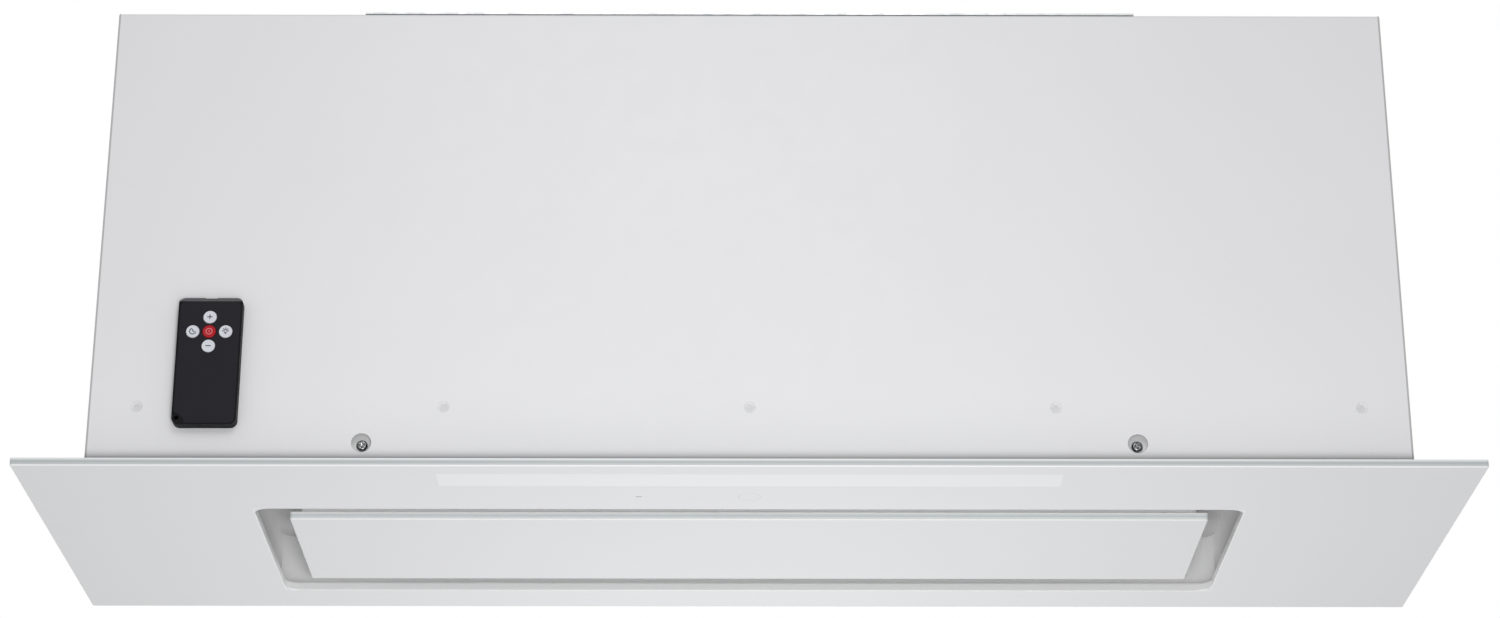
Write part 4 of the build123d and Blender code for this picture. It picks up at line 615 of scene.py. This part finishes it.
@dataclass(frozen=True)
class BackPaintedGlass(Finish):
    """White glass: paint shows through the face; the green-grey ground edge darkens towards its middle
    between painted arris highlights.
    """

    # Tones up the edge: the glass's green-grey, with painted highlights at both arrises.
    edge_and_highlight_stops: tuple = (
        (0.08, (0.76, 0.79, 0.795)),
        (0.20, (0.51, 0.535, 0.54)),
        (0.34, (0.52, 0.545, 0.555)),
        (0.46, (0.43, 0.455, 0.465)),
        (0.64, (0.46, 0.49, 0.50)),
        (0.90, (0.76, 0.79, 0.795)),
    )
    # Painted light: factor that lightens the edge tones.
    edge_lightening: float = 1.06
    # Painted highlight on the arris along the outline.
    arris_highlight_colour: Colour = (0.95, 0.955, 0.96)
    foot: float = 0.0
    thick: float = 0.005
    arris: float = 0.0006
    arris_fade: float = 1.3
    centre: tuple[float, float] = (0.0, 0.0)
    half: tuple[float, float] = (0.45, 0.144)

    def edge(self, shader: Shader, share: bpy.types.NodeSocket, factor: float) -> bpy.types.NodeSocket:
        """Edge tones and painted arris highlights, from the room side (share 0) to the rear (share 1)."""
        return shader.bands(share, [(at, shaded(colour, factor)) for at, colour in self.edge_and_highlight_stops])

    def faced(self, shader: Shader, face: bpy.types.NodeSocket) -> bpy.types.NodeSocket:
        """The face with a painted highlight on the arris along the outline."""
        grown = (self.half[0] + MM, self.half[1] + MM)
        return shader.mixed(shader.border(self.centre, grown, MM + self.arris), face, self.arris_highlight_colour)

    def sided(self, shader: Shader, share: bpy.types.NodeSocket) -> bpy.types.NodeSocket:
        """Colour of the edges, lightened as painted light."""
        return self.edge(shader, share, self.edge_lightening)

    def made(self) -> bpy.types.Material:
        """The finished material: face below the arris, ground edge above it.

        Returns:
            The material.
        """
        shader, face = self.begun()
        height = shader.axes()[2]
        share = shader.maths("DIVIDE", shader.maths("SUBTRACT", height, self.foot), self.thick)
        start = self.arris / self.thick
        on_edge = shader.ramp(share, start, self.arris_fade * start, 0.0, 1.0)
        colour = shader.mixed(on_edge, self.faced(shader, face), self.sided(shader, share))
        return shader.feed(Base_Color=colour)


@dataclass(frozen=True)
class FasciaGlass(BackPaintedGlass):
    """The fascia's glass, with the light window, the touch ring, the receiver's dash and painted light round
    the opening.
    """

    opening: tuple[float, float] = (0.0, 0.0225)
    opening_half: tuple[float, float] = (0.3125, 0.085)
    opening_lightening: float = 2.2
    window_y: float = -0.118
    window_half: tuple[float, float] = (0.192, 0.011)
    sensor_y: float = -0.087
    ring_radius: float = 0.0069
    ring_width: float = 0.0007
    dash_x: float = -0.069
    dash_half: tuple[float, float] = (0.0019, 0.0006)
    rim_highlight_share: float = 0.5
    window_share: float = 0.8
    ring_share: float = 0.4
    window_colour: Colour = (0.86, 0.865, 0.875)
    print_colour: Colour = (0.52, 0.53, 0.55)
    dash_colour: Colour = (0.30, 0.31, 0.32)

    def faced(self, shader: Shader, face: bpy.types.NodeSocket) -> bpy.types.NodeSocket:
        """The face with painted highlights on the arrises of outline and opening, and the prints over the
        paint.

        Args:
            shader: The material in the making.
            face: Colour of the paint.

        Returns:
            The colour.
        """
        colour = super().faced(shader, face)
        grown = (self.opening_half[0] + self.arris, self.opening_half[1] + self.arris)
        # Painted highlight on the arris round the opening.
        rim = shader.border(self.opening, grown, 2 * self.arris)
        colour = shader.mixed(shader.maths("MULTIPLY", rim, self.rim_highlight_share), colour, self.arris_highlight_colour)
        window = shader.inside((0.0, self.window_y), self.window_half)
        window = shader.maths("MULTIPLY", window, self.window_share)
        colour = shader.mixed(window, colour, self.window_colour)
        circle = shader.ringed((0.0, self.sensor_y), self.ring_radius, self.ring_width)
        circle = shader.maths("MULTIPLY", circle, self.ring_share)
        colour = shader.mixed(circle, colour, self.print_colour)
        dash = shader.inside((self.dash_x, self.sensor_y), self.dash_half)
        return shader.mixed(dash, colour, self.dash_colour)

    def sided(self, shader: Shader, share: bpy.types.NodeSocket) -> bpy.types.NodeSocket:
        """Edges of the outline, and those round the opening, lightened as painted light.

        Args:
            shader: The material in the making.
            share: Share of the thickness, from the room side.

        Returns:
            The colour.
        """
        grown = (self.opening_half[0] + MM, self.opening_half[1] + MM)
        at_opening = shader.inside(self.opening, grown)
        # Painted light: the opening's edges take lighter tones.
        pale = self.edge(shader, share, self.opening_lightening)
        return shader.mixed(at_opening, super().sided(shader, share), pale)


@dataclass(frozen=True)
class RecessPaint(Finish):
    """White paint on the recess walls, with painted shade low down on the two end walls."""

    end: float = 0.3165
    low: float = 0.005
    high: float = 0.030
    # Painted shade low on the end walls: its share and colour.
    end_shade_share: float = 0.60
    end_shade_colour: Colour = (0.10, 0.105, 0.11)

    def made(self) -> bpy.types.Material:
        """The finished material: on the end walls the painted shade's share shrinks evenly from low to high.

        Returns:
            The material.
        """
        shader, colour = self.begun()
        x, _, z = shader.axes()
        on_end = shader.maths("GREATER_THAN", shader.maths("ABSOLUTE", x), self.end)
        # Painted shade: darkening low on the end walls, in the corner.
        dull = shader.ramp(z, self.low, self.high, self.end_shade_share, 0.0)
        share = shader.maths("MULTIPLY", on_end, dull)
        return shader.feed(Base_Color=shader.mixed(share, colour, self.end_shade_colour))


@dataclass(frozen=True)
class CaseMoulding(Finish):
    """Near-black case of the remote control; its sloped upper end is painted lighter, as painted light from
    above.
    """

    # Painted light: colour of the sloped upper end, which faces the light.
    window_colour: Colour = (0.115, 0.112, 0.118)
    lean: float = 0.555
    lean_span: float = 0.15

    def made(self) -> bpy.types.Material:
        """The finished material: the slope is painted lighter where the upward part of the normal is near
        `lean`.

        Returns:
            The material.
        """
        shader, colour = self.begun()
        normal = shader.node("NewGeometry").outputs["Normal"]
        up = shader.node("SeparateXYZ", {0: normal}).outputs["Z"]
        # Painted light on the upward-facing slope.
        lit_slope = shader.maths("COMPARE", up, self.lean, self.lean_span)
        return shader.feed(Base_Color=shader.mixed(lit_slope, colour, self.window_colour))


FINISHES = {
    "casing_white": CasingPaint("casing paint", (0.80, 0.80, 0.815), 0.42, Grain.PEEL, mottle=0.012),
    "inner_white": Finish("inner paint", (0.90, 0.90, 0.90), 0.45, Grain.PEEL, mottle=0.02),
    "galvanised": Finish("zinc sheet", (0.62, 0.63, 0.64), 0.38, Grain.SPANGLE, metallic=0.9),
    "zinc_screw": Finish("zinc plating", (0.50, 0.51, 0.52), 0.25, Grain.BRUSHED, metallic=1.0),
    # Panel glass: painted arris highlight, and its edges lightened as painted light.
    "white_glass": BackPaintedGlass(
        "panel glass", (0.74, 0.745, 0.76), 0.16, Grain.POLISHED,
        mottle=0.01, foot=0.001, centre=(0.0, 0.0225), half=(0.2925, 0.062), edge_lightening=1.7,
    ),
    "opal": Finish("opal light guide", (0.85, 0.86, 0.86), 0.35, Grain.POLISHED),
    "aluminium": Finish("satin aluminium", (0.72, 0.73, 0.74), 0.32, Grain.BRUSHED, metallic=1.0),
    "filter_aluminium": Finish("filter aluminium", (0.66, 0.67, 0.68), 0.36, Grain.BRUSHED, metallic=1.0),
    "circuit": Finish("circuit board", (0.03, 0.20, 0.08), 0.40, Grain.MOULDED, mottle=0.15, coat=0.4),
    "dark_plastic": Finish("dark moulding", (0.045, 0.045, 0.05), 0.42, Grain.MOULDED, mottle=0.08),
    "grey_plastic": Finish("grey moulding", (0.42, 0.43, 0.44), 0.48, Grain.MOULDED, mottle=0.05),
    "motor_black": Finish("motor enamel", (0.05, 0.05, 0.055), 0.35, Grain.PEEL, mottle=0.1, coat=0.2),
    "magnet_nickel": Finish("nickel plating", (0.62, 0.61, 0.59), 0.18, Grain.POLISHED, metallic=1.0),
    "remote_black": CaseMoulding(
        "remote case", (0.005, 0.005, 0.006), 0.5, Grain.MOULDED, mottle=0.05, gloss=0.1
    ),
    "button_white": Finish("white key", (0.68, 0.70, 0.76), 0.35, Grain.POLISHED),
    "button_red": Finish("red key", (0.42, 0.004, 0.012), 0.35, Grain.POLISHED, gloss=0.25),
}
FASCIA_GLASS = FasciaGlass("fascia glass", (0.765, 0.77, 0.785), 0.16, Grain.POLISHED, mottle=0.01)
# Recess ceiling: the white paint darkened to grey as painted shade; the walls a little paler, as painted
# light.
SHADED_RECESS_CEILING = Finish("recess ceiling paint", (0.55, 0.55, 0.55), 0.45, Grain.PEEL, mottle=0.02)
RECESS_WALL = RecessPaint("recess wall paint", (0.92, 0.92, 0.92), 0.45, Grain.PEEL, mottle=0.02)
RIVET_PAINT = Finish("rivet paint", (0.68, 0.68, 0.69), 0.42, Grain.PEEL, mottle=0.02)
# Zinc plating darkened as painted shade, for the screw heads deep in their holes.
SHADED_ZINC = Finish("shaded zinc", (0.29, 0.295, 0.30), 0.25, Grain.BRUSHED, metallic=1.0)
REMOTE_FACE = Finish("remote face", (0.0135, 0.0125, 0.0165), 0.5, Grain.MOULDED, mottle=0.05, gloss=0.12)
BLACK_INK: Colour = (0.03, 0.03, 0.045)
RED_INK: Colour = (0.75, 0.20, 0.22)
INK_ROUGHNESS = 0.5


# ---- Sub-assemblies ------------------------------------------------------------------------
@dataclass
class Wardrobe:
    """Every finish as a material, by the record's slot name."""

    materials: dict = field(default_factory=dict)

    def dress(self) -> None:
        """Give each CAD node the material of its slot."""
        self.materials = {slot: finish.made() for slot, finish in FINISHES.items()}
        for part in frame["record"]["subparts"]:
            self.give(part["node"], self.materials[part["material_slot"]])

    def give(self, node: str, material: bpy.types.Material) -> None:
        """Put one material on a CAD node.

        Args:
            node: Name of the node.
            material: The material.
        """
        target = frame["nodes"][node]
        target.data.materials.clear()
        target.data.materials.append(material)
        LOG.info("%s wears %s", node, material.name)


@dataclass(frozen=True)
class CrossHead:
    """Pan head with a cross recess."""

    radius: float = 0.0036
    flat_share: float = 0.55  # of the radius
    shank_share: float = 0.55  # of the radius
    high: float = 0.0022
    dome_share: float = 0.75  # of the height
    dome_power: float = 2.4
    shank_heads: float = 2.5  # heights of the head
    cross_reach: float = 0.0042
    cross_width: float = 0.00115
    lean_share: float = 0.3  # of the cross's width
    cross_depth: float = 0.0014
    rise_share: float = 0.55  # of the cross's depth
    first_ring: float = 0.04
    rings: int = 22
    sides: int = 96

    def surface(self) -> Surface:
        """The head, its face at z = 0, worked out on rings of points.

        The height is a shallow dome, less the recess depth where the point lies in either arm of
        the cross; the arms' walls lean by a share of their width.

        Returns:
            The head and a stub of the shank.
        """
        share = np.linspace(self.first_ring, 1.0, self.rings)[:, None]
        turn = np.linspace(0, 2 * np.pi, self.sides, endpoint=False)[None, :]
        x, y = share * self.radius * np.cos(turn), share * self.radius * np.sin(turn)
        near, far = np.minimum(abs(x), abs(y)), np.maximum(abs(x), abs(y))
        lean = self.cross_width * self.lean_share
        wall = np.clip((self.cross_width / 2 - near) / lean + 0.5, 0, 1)
        stop = np.clip((self.cross_reach / 2 - far) / lean, 0, 1)
        taper = 1 - self.rise_share * np.clip(2 * far / self.cross_reach, 0, 1)
        slope = np.clip((share - self.flat_share) / (1 - self.flat_share), 0, 1)
        dome = -self.high * self.dome_share * slope ** self.dome_power
        height = dome - self.cross_depth * wall * stop * taper
        top = np.stack([x, y, np.broadcast_to(height, x.shape)], -1)[::-1]
        skirt = top[:1] * np.array([1, 1, 0]) - np.array([0, 0, self.high])
        shank = skirt * np.array([self.shank_share, self.shank_share, 1])
        tail = shank - np.array([0, 0, self.shank_heads * self.high])
        return grid(np.concatenate([tail, shank, skirt, top]))


@dataclass
class Casing:
    """Rivets and screws that show on the painted casing."""

    wardrobe: Wardrobe
    dish_radius: float = 0.0036
    mandrel_radius: float = 0.00095
    dish_depth: float = 0.0006
    proud: float = 0.00006
    root: float = 0.0008
    rivet_sides: int = 40
    screw: CrossHead = CrossHead()
    screw_turn: float = 12.0

    def build(self) -> None:
        """Make the rivets and the fascia screws."""
        self.rivets()
        self.screws()

    def rivets(self) -> None:
        """Round dished heads in place of the many-sided ones, each with its mandrel's hole."""
        radius, mandrel, depth = self.dish_radius, self.mandrel_radius, self.dish_depth
        # From the foot of the rim inwards, in shares of these sizes except for the rim's heights.
        rim = [(radius * 0.9, -self.root), (radius * 1.04, 0.0)]
        rim += [(radius * 1.03, self.proud), (radius * 0.96, self.proud)]
        dish = [(radius * 0.90, -depth * 0.45), (radius * 0.72, -depth * 0.92), (radius * 0.50, -depth)]
        hole = [(mandrel * 1.15, -depth * 0.92), (mandrel, -depth * 1.2), (mandrel * 0.95, -depth * 3.2)]
        head = lathe([*rim, *dish, *hole], self.rivet_sides).repeated(self.seats("body_rivets"))
        shown = head.piece("rivet_heads", RIVET_PAINT.made(), "housing", "casing_white")
        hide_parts("body_rivets")

    def seats(self, node: str) -> list[Matrix]:
        """Places of a node's fasteners, each facing out of the front or the rear.

        Args:
            node: Node with one solid to a fastener.

        Returns:
            A place on the outer face of each.
        """
        places = []
        for low, high in boxes_of(node):
            middle = (low + high) / 2
            way = -1 if middle.y < 0 else 1
            places.append(facing(middle.x, low.y if way < 0 else high.y, middle.z, way))
        return places

    def screws(self) -> None:
        """Four fascia screws deep in their access holes, in zinc darkened as painted shade."""
        turn = Matrix.Rotation(math.radians(self.screw_turn), 4, "Z")
        head = self.screw.surface().repeated([place @ turn for place in self.seats("fascia_screws")])
        shown = head.piece("fascia_screw_heads", SHADED_ZINC.made(), "housing", "zinc_screw", smooth=28)
        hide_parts("fascia_screws")


@dataclass
class Lid:
    """Flange-head screws and the cable gland on top of the hood."""

    wardrobe: Wardrobe
    head_radius: float = 0.0031
    head: float = 0.0018
    bevel_share: float = 0.82  # of the head's radius and height
    washer_radius: float = 0.0034
    washer: float = 0.0005
    washer_sides: int = 36
    shank_radius: float = 0.0019
    bore: float = 0.0042
    dome: float = 0.012
    ribs: int = 24
    rib_points: int = 6
    rib_height: float = 0.00035
    collar: float = 0.005
    locknut_foot: float = 0.001
    locknut: float = 0.004
    thread_share: float = 0.63  # of the gland's half width
    nut_share: float = 0.94  # of the gland's half width
    nut_bevel: float = 0.0005

    def build(self) -> None:
        """Make the screws and the gland."""
        self.screws()
        self.gland()

    def screws(self) -> None:
        """Six-sided heads, bevelled above, on a washer that is one with them."""
        places, depths = [], []
        for low, high in boxes_of("cover_screws"):
            middle = (low + high) / 2
            places.append(Matrix.Translation((middle.x, middle.y, high.z - self.head)))
            depths.append(high.z - low.z - self.head)
        shank = [(self.shank_radius, -min(depths)), (self.shank_radius, 0)]
        flange = [(self.washer_radius, 0), (self.washer_radius, self.washer), (self.head_radius, self.washer)]
        sides = [(self.head_radius, 0), (self.head_radius, self.head * self.bevel_share)]
        tip = (self.head_radius * self.bevel_share, self.head)
        parts = [lathe([*shank, *flange], self.washer_sides), lathe([*sides, tip], HEXAGON)]
        zinc = self.wardrobe.materials["zinc_screw"]
        head = gathered(parts).repeated(places)
        shown = head.piece("cover_screw_heads", zinc, "housing", "zinc_screw", smooth=25)
        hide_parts("cover_screws")

    def gland(self) -> None:
        """Ribbed dome nut over a six-sided collar, with a locknut inside and an open bore.

        The dome's radius swells and shrinks by a rib's height with the cosine of its angle.
        """
        low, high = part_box("cable_gland")
        middle, tall = (low + high) / 2, high.z - low.z
        widest = (high.x - low.x) / 2
        collar = high.z - self.dome - low.z
        rows = (  # radius, height and share of the rib's height
            (self.bore, collar, 0.0),
            (widest * 0.80, collar, 0.0),
            (widest * 0.84, collar + 0.0052, 1.0),
            (widest * 0.83, tall - 0.0060, 1.0),
            (widest * 0.76, tall - 0.0018, 0.6),
            (widest * 0.62, tall, 0.0),
            (self.bore * 1.12, tall, 0.0),
            (self.bore, tall - 0.0006, 0.0),
        )
        radius, height, share = np.array(rows).T[:, :, None]
        turn = np.linspace(0, 2 * np.pi, self.rib_points * self.ribs, endpoint=False)
        ribbed = radius + share * self.rib_height * np.cos(self.ribs * turn)
        level = np.broadcast_to(height, ribbed.shape)
        dome = grid(np.stack([ribbed * np.cos(turn), ribbed * np.sin(turn), level], -1), closed=True)
        thread = widest * self.thread_share
        barrel = self.pipe([(thread, 0.0), (thread, collar)], ROUND_SIDES)
        nuts, narrow, bevel = [], widest * self.nut_share, self.nut_bevel
        for foot, thick in ((collar, self.collar), (self.locknut_foot, self.locknut)):
            lower = [(narrow, foot), (widest, foot + bevel)]
            upper = [(widest, foot + thick - bevel), (narrow, foot + thick)]
            nuts.append(self.pipe(lower + upper, HEXAGON))
        place = Matrix.Translation((middle.x, middle.y, low.z))
        plastic = self.wardrobe.materials["dark_plastic"]
        gland = gathered([dome, barrel, *nuts]).placed(place)
        shown = gland.piece("gland_nuts", plastic, "housing", "dark_plastic", smooth=30)
        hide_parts("cable_gland")

    def pipe(self, outside: list, sides: int) -> Surface:
        """Turned piece round the open bore, from its outer profile.

        Args:
            outside: Radius and height of the outer points, from below upwards.
            sides: Steps round the circle.

        Returns:
            The closed ring.
        """
        profile = [(self.bore, outside[0][1]), *outside, (self.bore, outside[-1][1])]
        return grid(lathe(profile, sides).points.reshape(len(profile), sides, 3), closed=True)


@dataclass
class Fascia:
    """Fascia glass with its prints, and the paint inside the recess, its ceiling a darker copy as painted
    shade.
    """

    wardrobe: Wardrobe

    def build(self) -> None:
        """Give the fascia glass its printed finish and the recess its paint, the ceiling darker as painted
        shade.
        """
        self.wardrobe.give("plenum_floor", SHADED_RECESS_CEILING.made())
        self.wardrobe.give("recess_liner", RECESS_WALL.made())
        self.wardrobe.give("fascia_glass", FASCIA_GLASS.made())


@dataclass
class GreaseFilter:
    """Expanded-metal screen under the filter's pleats."""

    wardrobe: Wardrobe
    cell_width: float = 0.006
    cell_depth: float = 0.003
    strand: float = 0.0006
    thick: float = 0.0003
    rim: float = 0.014
    lap: float = 0.004
    front_lap: float = 0.0008
    rise: float = 0.00125
    tongue: float = 0.005

    def build(self) -> None:
        """Lay the screen on the rim of the frame.

        Each strand zigzags across the width: y = row + (-1)^column * quarter of a cell's depth,
        with the phase turned over on every other row, so that neighbours meet at their peaks.
        """
        low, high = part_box("filter_frame")
        left, right = low.x + self.rim - self.lap, high.x - self.rim + self.lap
        front = low.y + self.rim - self.front_lap
        rear = high.y - self.tongue - self.rim + self.lap
        columns = int((right - left) / self.cell_width * 2)
        rows = int((rear - front) / self.cell_depth * 2)
        x = np.linspace(left, right, columns + 1)[None, :]
        y = np.linspace(front + self.cell_depth / 2, rear - self.cell_depth / 2, rows)[:, None]
        sign = (-1.0) ** (np.arange(columns + 1)[None, :] + np.arange(rows)[:, None])
        middle = y + sign * self.cell_depth / 4
        bottom = low.z + self.rise
        half = self.strand / 2
        sections = ((-half, 0.0), (half, 0.0), (half, self.thick), (-half, self.thick))
        points = np.empty((rows, columns + 1, 4, 3))
        for number, (across, up) in enumerate(sections):
            points[:, :, number, 0] = x
            points[:, :, number, 1] = middle + across
            points[:, :, number, 2] = bottom + up
        metal = self.wardrobe.materials["filter_aluminium"]
        screen = gathered([grid(row) for row in points])
        screen.piece("filter_screen", metal, "housing", "filter_aluminium", smooth=0)


class Sign(Enum):
    """Generic pictogram on a key."""

    PLUS = "plus"
    MINUS = "minus"
    POWER = "power"
    TIMER = "timer"
    LIGHT = "light"


@dataclass(frozen=True)
class Drawing:
    """Lines of one pictogram, in millimetres about the key's centre."""

    bows: tuple = ()
    bars: tuple = ()


def rays(count: int, inner: float, outer: float, y: float) -> tuple:
    """Short bars between two radii about (0, y), spread evenly over the upper half circle."""
    return tuple((inner * way + (0, y), outer * way + (0, y)) for way in arc(1.0, 0, 180, count))


LAMP_BARS = (((-0.55, -0.95), (0.55, -0.95)), ((-0.4, -1.5), (0.4, -1.5)))
DRAWINGS = {  # a bow is its radius, first angle, last angle and centre; a bar is its points
    Sign.PLUS: Drawing(bars=(((-1.7, 0), (1.7, 0)), ((0, -1.6), (0, 1.6)))),
    Sign.MINUS: Drawing(bars=(((-1.7, 0), (1.7, 0)),)),
    Sign.POWER: Drawing(((1.9, 0, 180, 0, 0), (1.9, 180, 360, 0, 0)), (((0, -0.75), (0, 0.75)),)),
    Sign.TIMER: Drawing(((1.9, 100, 350, 0, 0),), (((0, 1.3), (0, 0), (1.2, 0)),)),
    Sign.LIGHT: Drawing(((1.0, -50, 230, 0, 0.3),), LAMP_BARS + rays(5, 1.55, 2.15, 0.3)),
}


@dataclass
class Remote:
    """Keys of the remote control with their pictograms."""

    wardrobe: Wardrobe
    key_edge: float = 0.0005
    edge_steps: int = 7
    key_sides: int = 48
    rim_width: float = 0.00065
    rim_thick: float = 0.0008
    dish_depth: float = 0.00012
    dish_shares: tuple[float, ...] = (0.85, 0.6, 0.3, 0.05)  # of the face's radius
    line: float = 0.00052
    ink_rise: float = 0.00004

    def build(self) -> None:
        """Give the face plate its own tone, make each key and print its sign."""
        self.wardrobe.give("remote_face", REMOTE_FACE.made())
        for sign in Sign:
            self.key(sign)

    def key(self, sign: Sign) -> None:
        """One round key: a rim behind the face, a cap with a rounded edge and a shallow dish.

        At a share of the radius from the middle, the dish lies dish_depth * (1 - share^2) deep.

        Args:
            sign: The pictogram on it.
        """
        node = "button_" + sign.value
        low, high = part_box(node)
        middle, rim = (low + high) / 2, (high.x - low.x) / 2
        radius, deep = rim - self.rim_width, high.y - low.y
        foot = [(rim, -deep), (rim, self.rim_thick - deep), (radius, self.rim_thick - deep)]
        rounded = arc(self.key_edge, 0, 90, self.edge_steps) + (radius - self.key_edge, -self.key_edge)
        dish = [(radius * share, -self.dish_depth * (1 - share ** 2)) for share in self.dish_shares]
        place = facing(middle.x, low.y, middle.z, -1)
        red = sign is Sign.POWER
        slot = "button_red" if red else "button_white"
        plastic = self.wardrobe.materials[slot]
        form = lathe([*foot, *rounded, *dish], self.key_sides).placed(place)
        cap = form.piece("key_" + sign.value, plastic, node, slot)
        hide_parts(node)
        tint = RED_INK if red else BLACK_INK
        ink = Finish("print " + sign.value, tint, INK_ROUGHNESS, Grain.POLISHED).made()
        sunk = place @ Matrix.Translation((0, 0, -self.ink_rise))
        drawn = gathered(self.strokes(sign)).placed(sunk)
        drawn.piece("sign_" + sign.value, ink, node, slot, smooth=0)

    def strokes(self, sign: Sign) -> list[Surface]:
        """Lines of one pictogram, in metres about the key's centre.

        Args:
            sign: Which pictogram.

        Returns:
            Its strokes.
        """
        drawing = DRAWINGS[sign]
        paths = [arc(radius, start, end) + (x, y) for radius, start, end, x, y in drawing.bows]
        paths += [np.array(points, float) for points in drawing.bars]
        return [ribbon(path * MM, self.line, 2 * self.ink_rise) for path in paths]


# ---- Studio --------------------------------------------------------------------------------
@dataclass(frozen=True)
class Lamp:
    """Square area lamp: where it stands, the point that it faces, its side and its power."""

    name: str
    at: tuple[float, float, float]
    to: tuple[float, float, float]
    size: float
    watts: float


LAMPS = (
    Lamp("key_lamp", (-0.05, -1.1, 0.65), (0, 0, 0.12), 0.5, 2.0),
    Lamp("fill_lamp", (0.05, -1.4, -0.53), (0, 0, 0.05), 0.3, 6.2),
    Lamp("front_lamp", (0, -0.72, -0.74), (0, 0.05, 0), 0.4, 1.1),
    Lamp("under_lamp", (0, 0.14, -0.5), (0, 0.12, 0), 0.3, 1.0),
)


@dataclass
class Studio:
    """Camera, lamps, pale floor and white surroundings."""

    camera_at: tuple[float, float, float] = (-0.0077, -2.0778, -0.6863)
    pitch: float = 22.21
    yaw: float = -0.23
    lens: float = 80.93
    sensor: float = 36.0
    floor_height: float = -6.5
    floor_size: float = 16.0
    floor_colour: float = 0.90
    floor_roughness: float = 0.9
    floor_glow: float = 0.35
    surround: float = 0.48

    def build(self) -> None:
        """Set up everything round the hood."""
        self.camera()
        self.floor()
        self.surroundings()
        for lamp in LAMPS:
            self.light(lamp)
        bpy.context.scene.view_settings.view_transform = "Standard"

    def camera(self) -> None:
        """Camera under the hood, looking up at it from the front."""
        data = bpy.data.cameras.new("camera")
        data.sensor_width, data.lens = self.sensor, self.lens
        made = bpy.data.objects.new("camera", data)
        made.location = self.camera_at
        made.rotation_euler = Euler((math.radians(90 + self.pitch), 0.0, math.radians(self.yaw)))
        bpy.context.scene.collection.objects.link(made)
        bpy.context.scene.camera = made

    def light(self, lamp: Lamp) -> None:
        """Put one lamp in its place.

        Args:
            lamp: The lamp.
        """
        data = bpy.data.lights.new(lamp.name, "AREA")
        data.size, data.energy = lamp.size, lamp.watts
        made = bpy.data.objects.new(lamp.name, data)
        made.location = lamp.at
        made.rotation_euler = (Vector(lamp.to) - Vector(lamp.at)).to_track_quat("-Z", "Y").to_euler()
        bpy.context.scene.collection.objects.link(made)

    def floor(self) -> None:
        """Pale floor, far enough below that a view from underneath still meets the hood first."""
        half = self.floor_size / 2
        corners = [(-half, -half), (half, -half), (half, half), (-half, half)]
        mesh = bpy.data.meshes.new("floor")
        mesh.from_pydata([(x, y, self.floor_height) for x, y in corners], [], [(0, 1, 2, 3)])
        shader = Shader("floor")
        grey = (self.floor_colour,) * 3
        glow = shader.maths("MULTIPLY", looked_at(shader.tree), self.floor_glow)
        shader.feed(Emission_Color=(1.0, 1.0, 1.0, 1.0), Emission_Strength=glow)
        mesh.materials.append(shader.feed(Base_Color=(*grey, 1.0), Roughness=self.floor_roughness))
        made = bpy.data.objects.new("floor", mesh)
        bpy.context.scene.collection.objects.link(made)

    def surroundings(self) -> None:
        """White to the camera and in reflections, softer as a light."""
        world = bpy.data.worlds.new("surroundings")
        bpy.context.scene.world = world
        world.use_nodes = True
        nodes, links = world.node_tree.nodes, world.node_tree.links
        strength = nodes.new("ShaderNodeMapRange")
        links.new(looked_at(world.node_tree), strength.inputs[0])
        strength.inputs["To Min"].default_value = self.surround
        strength.inputs["To Max"].default_value = 1.0
        background = nodes["Background"]
        background.inputs["Color"].default_value = (1, 1, 1, 1)
        links.new(strength.outputs[0], background.inputs["Strength"])


def main() -> None:
    """Build the sub-assemblies in order."""
    logging.basicConfig(level=logging.INFO, format="%(name)s: %(message)s")
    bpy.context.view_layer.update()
    wardrobe = Wardrobe()
    wardrobe.dress()
    dressed = [kind(wardrobe) for kind in (Casing, Lid, Fascia, GreaseFilter, Remote)]
    for assembly in (*dressed, Studio()):
        assembly.build()
        LOG.info("%s is built", type(assembly).__name__)
    bpy.context.view_layer.update()


if __name__ == "__main__":
    main()
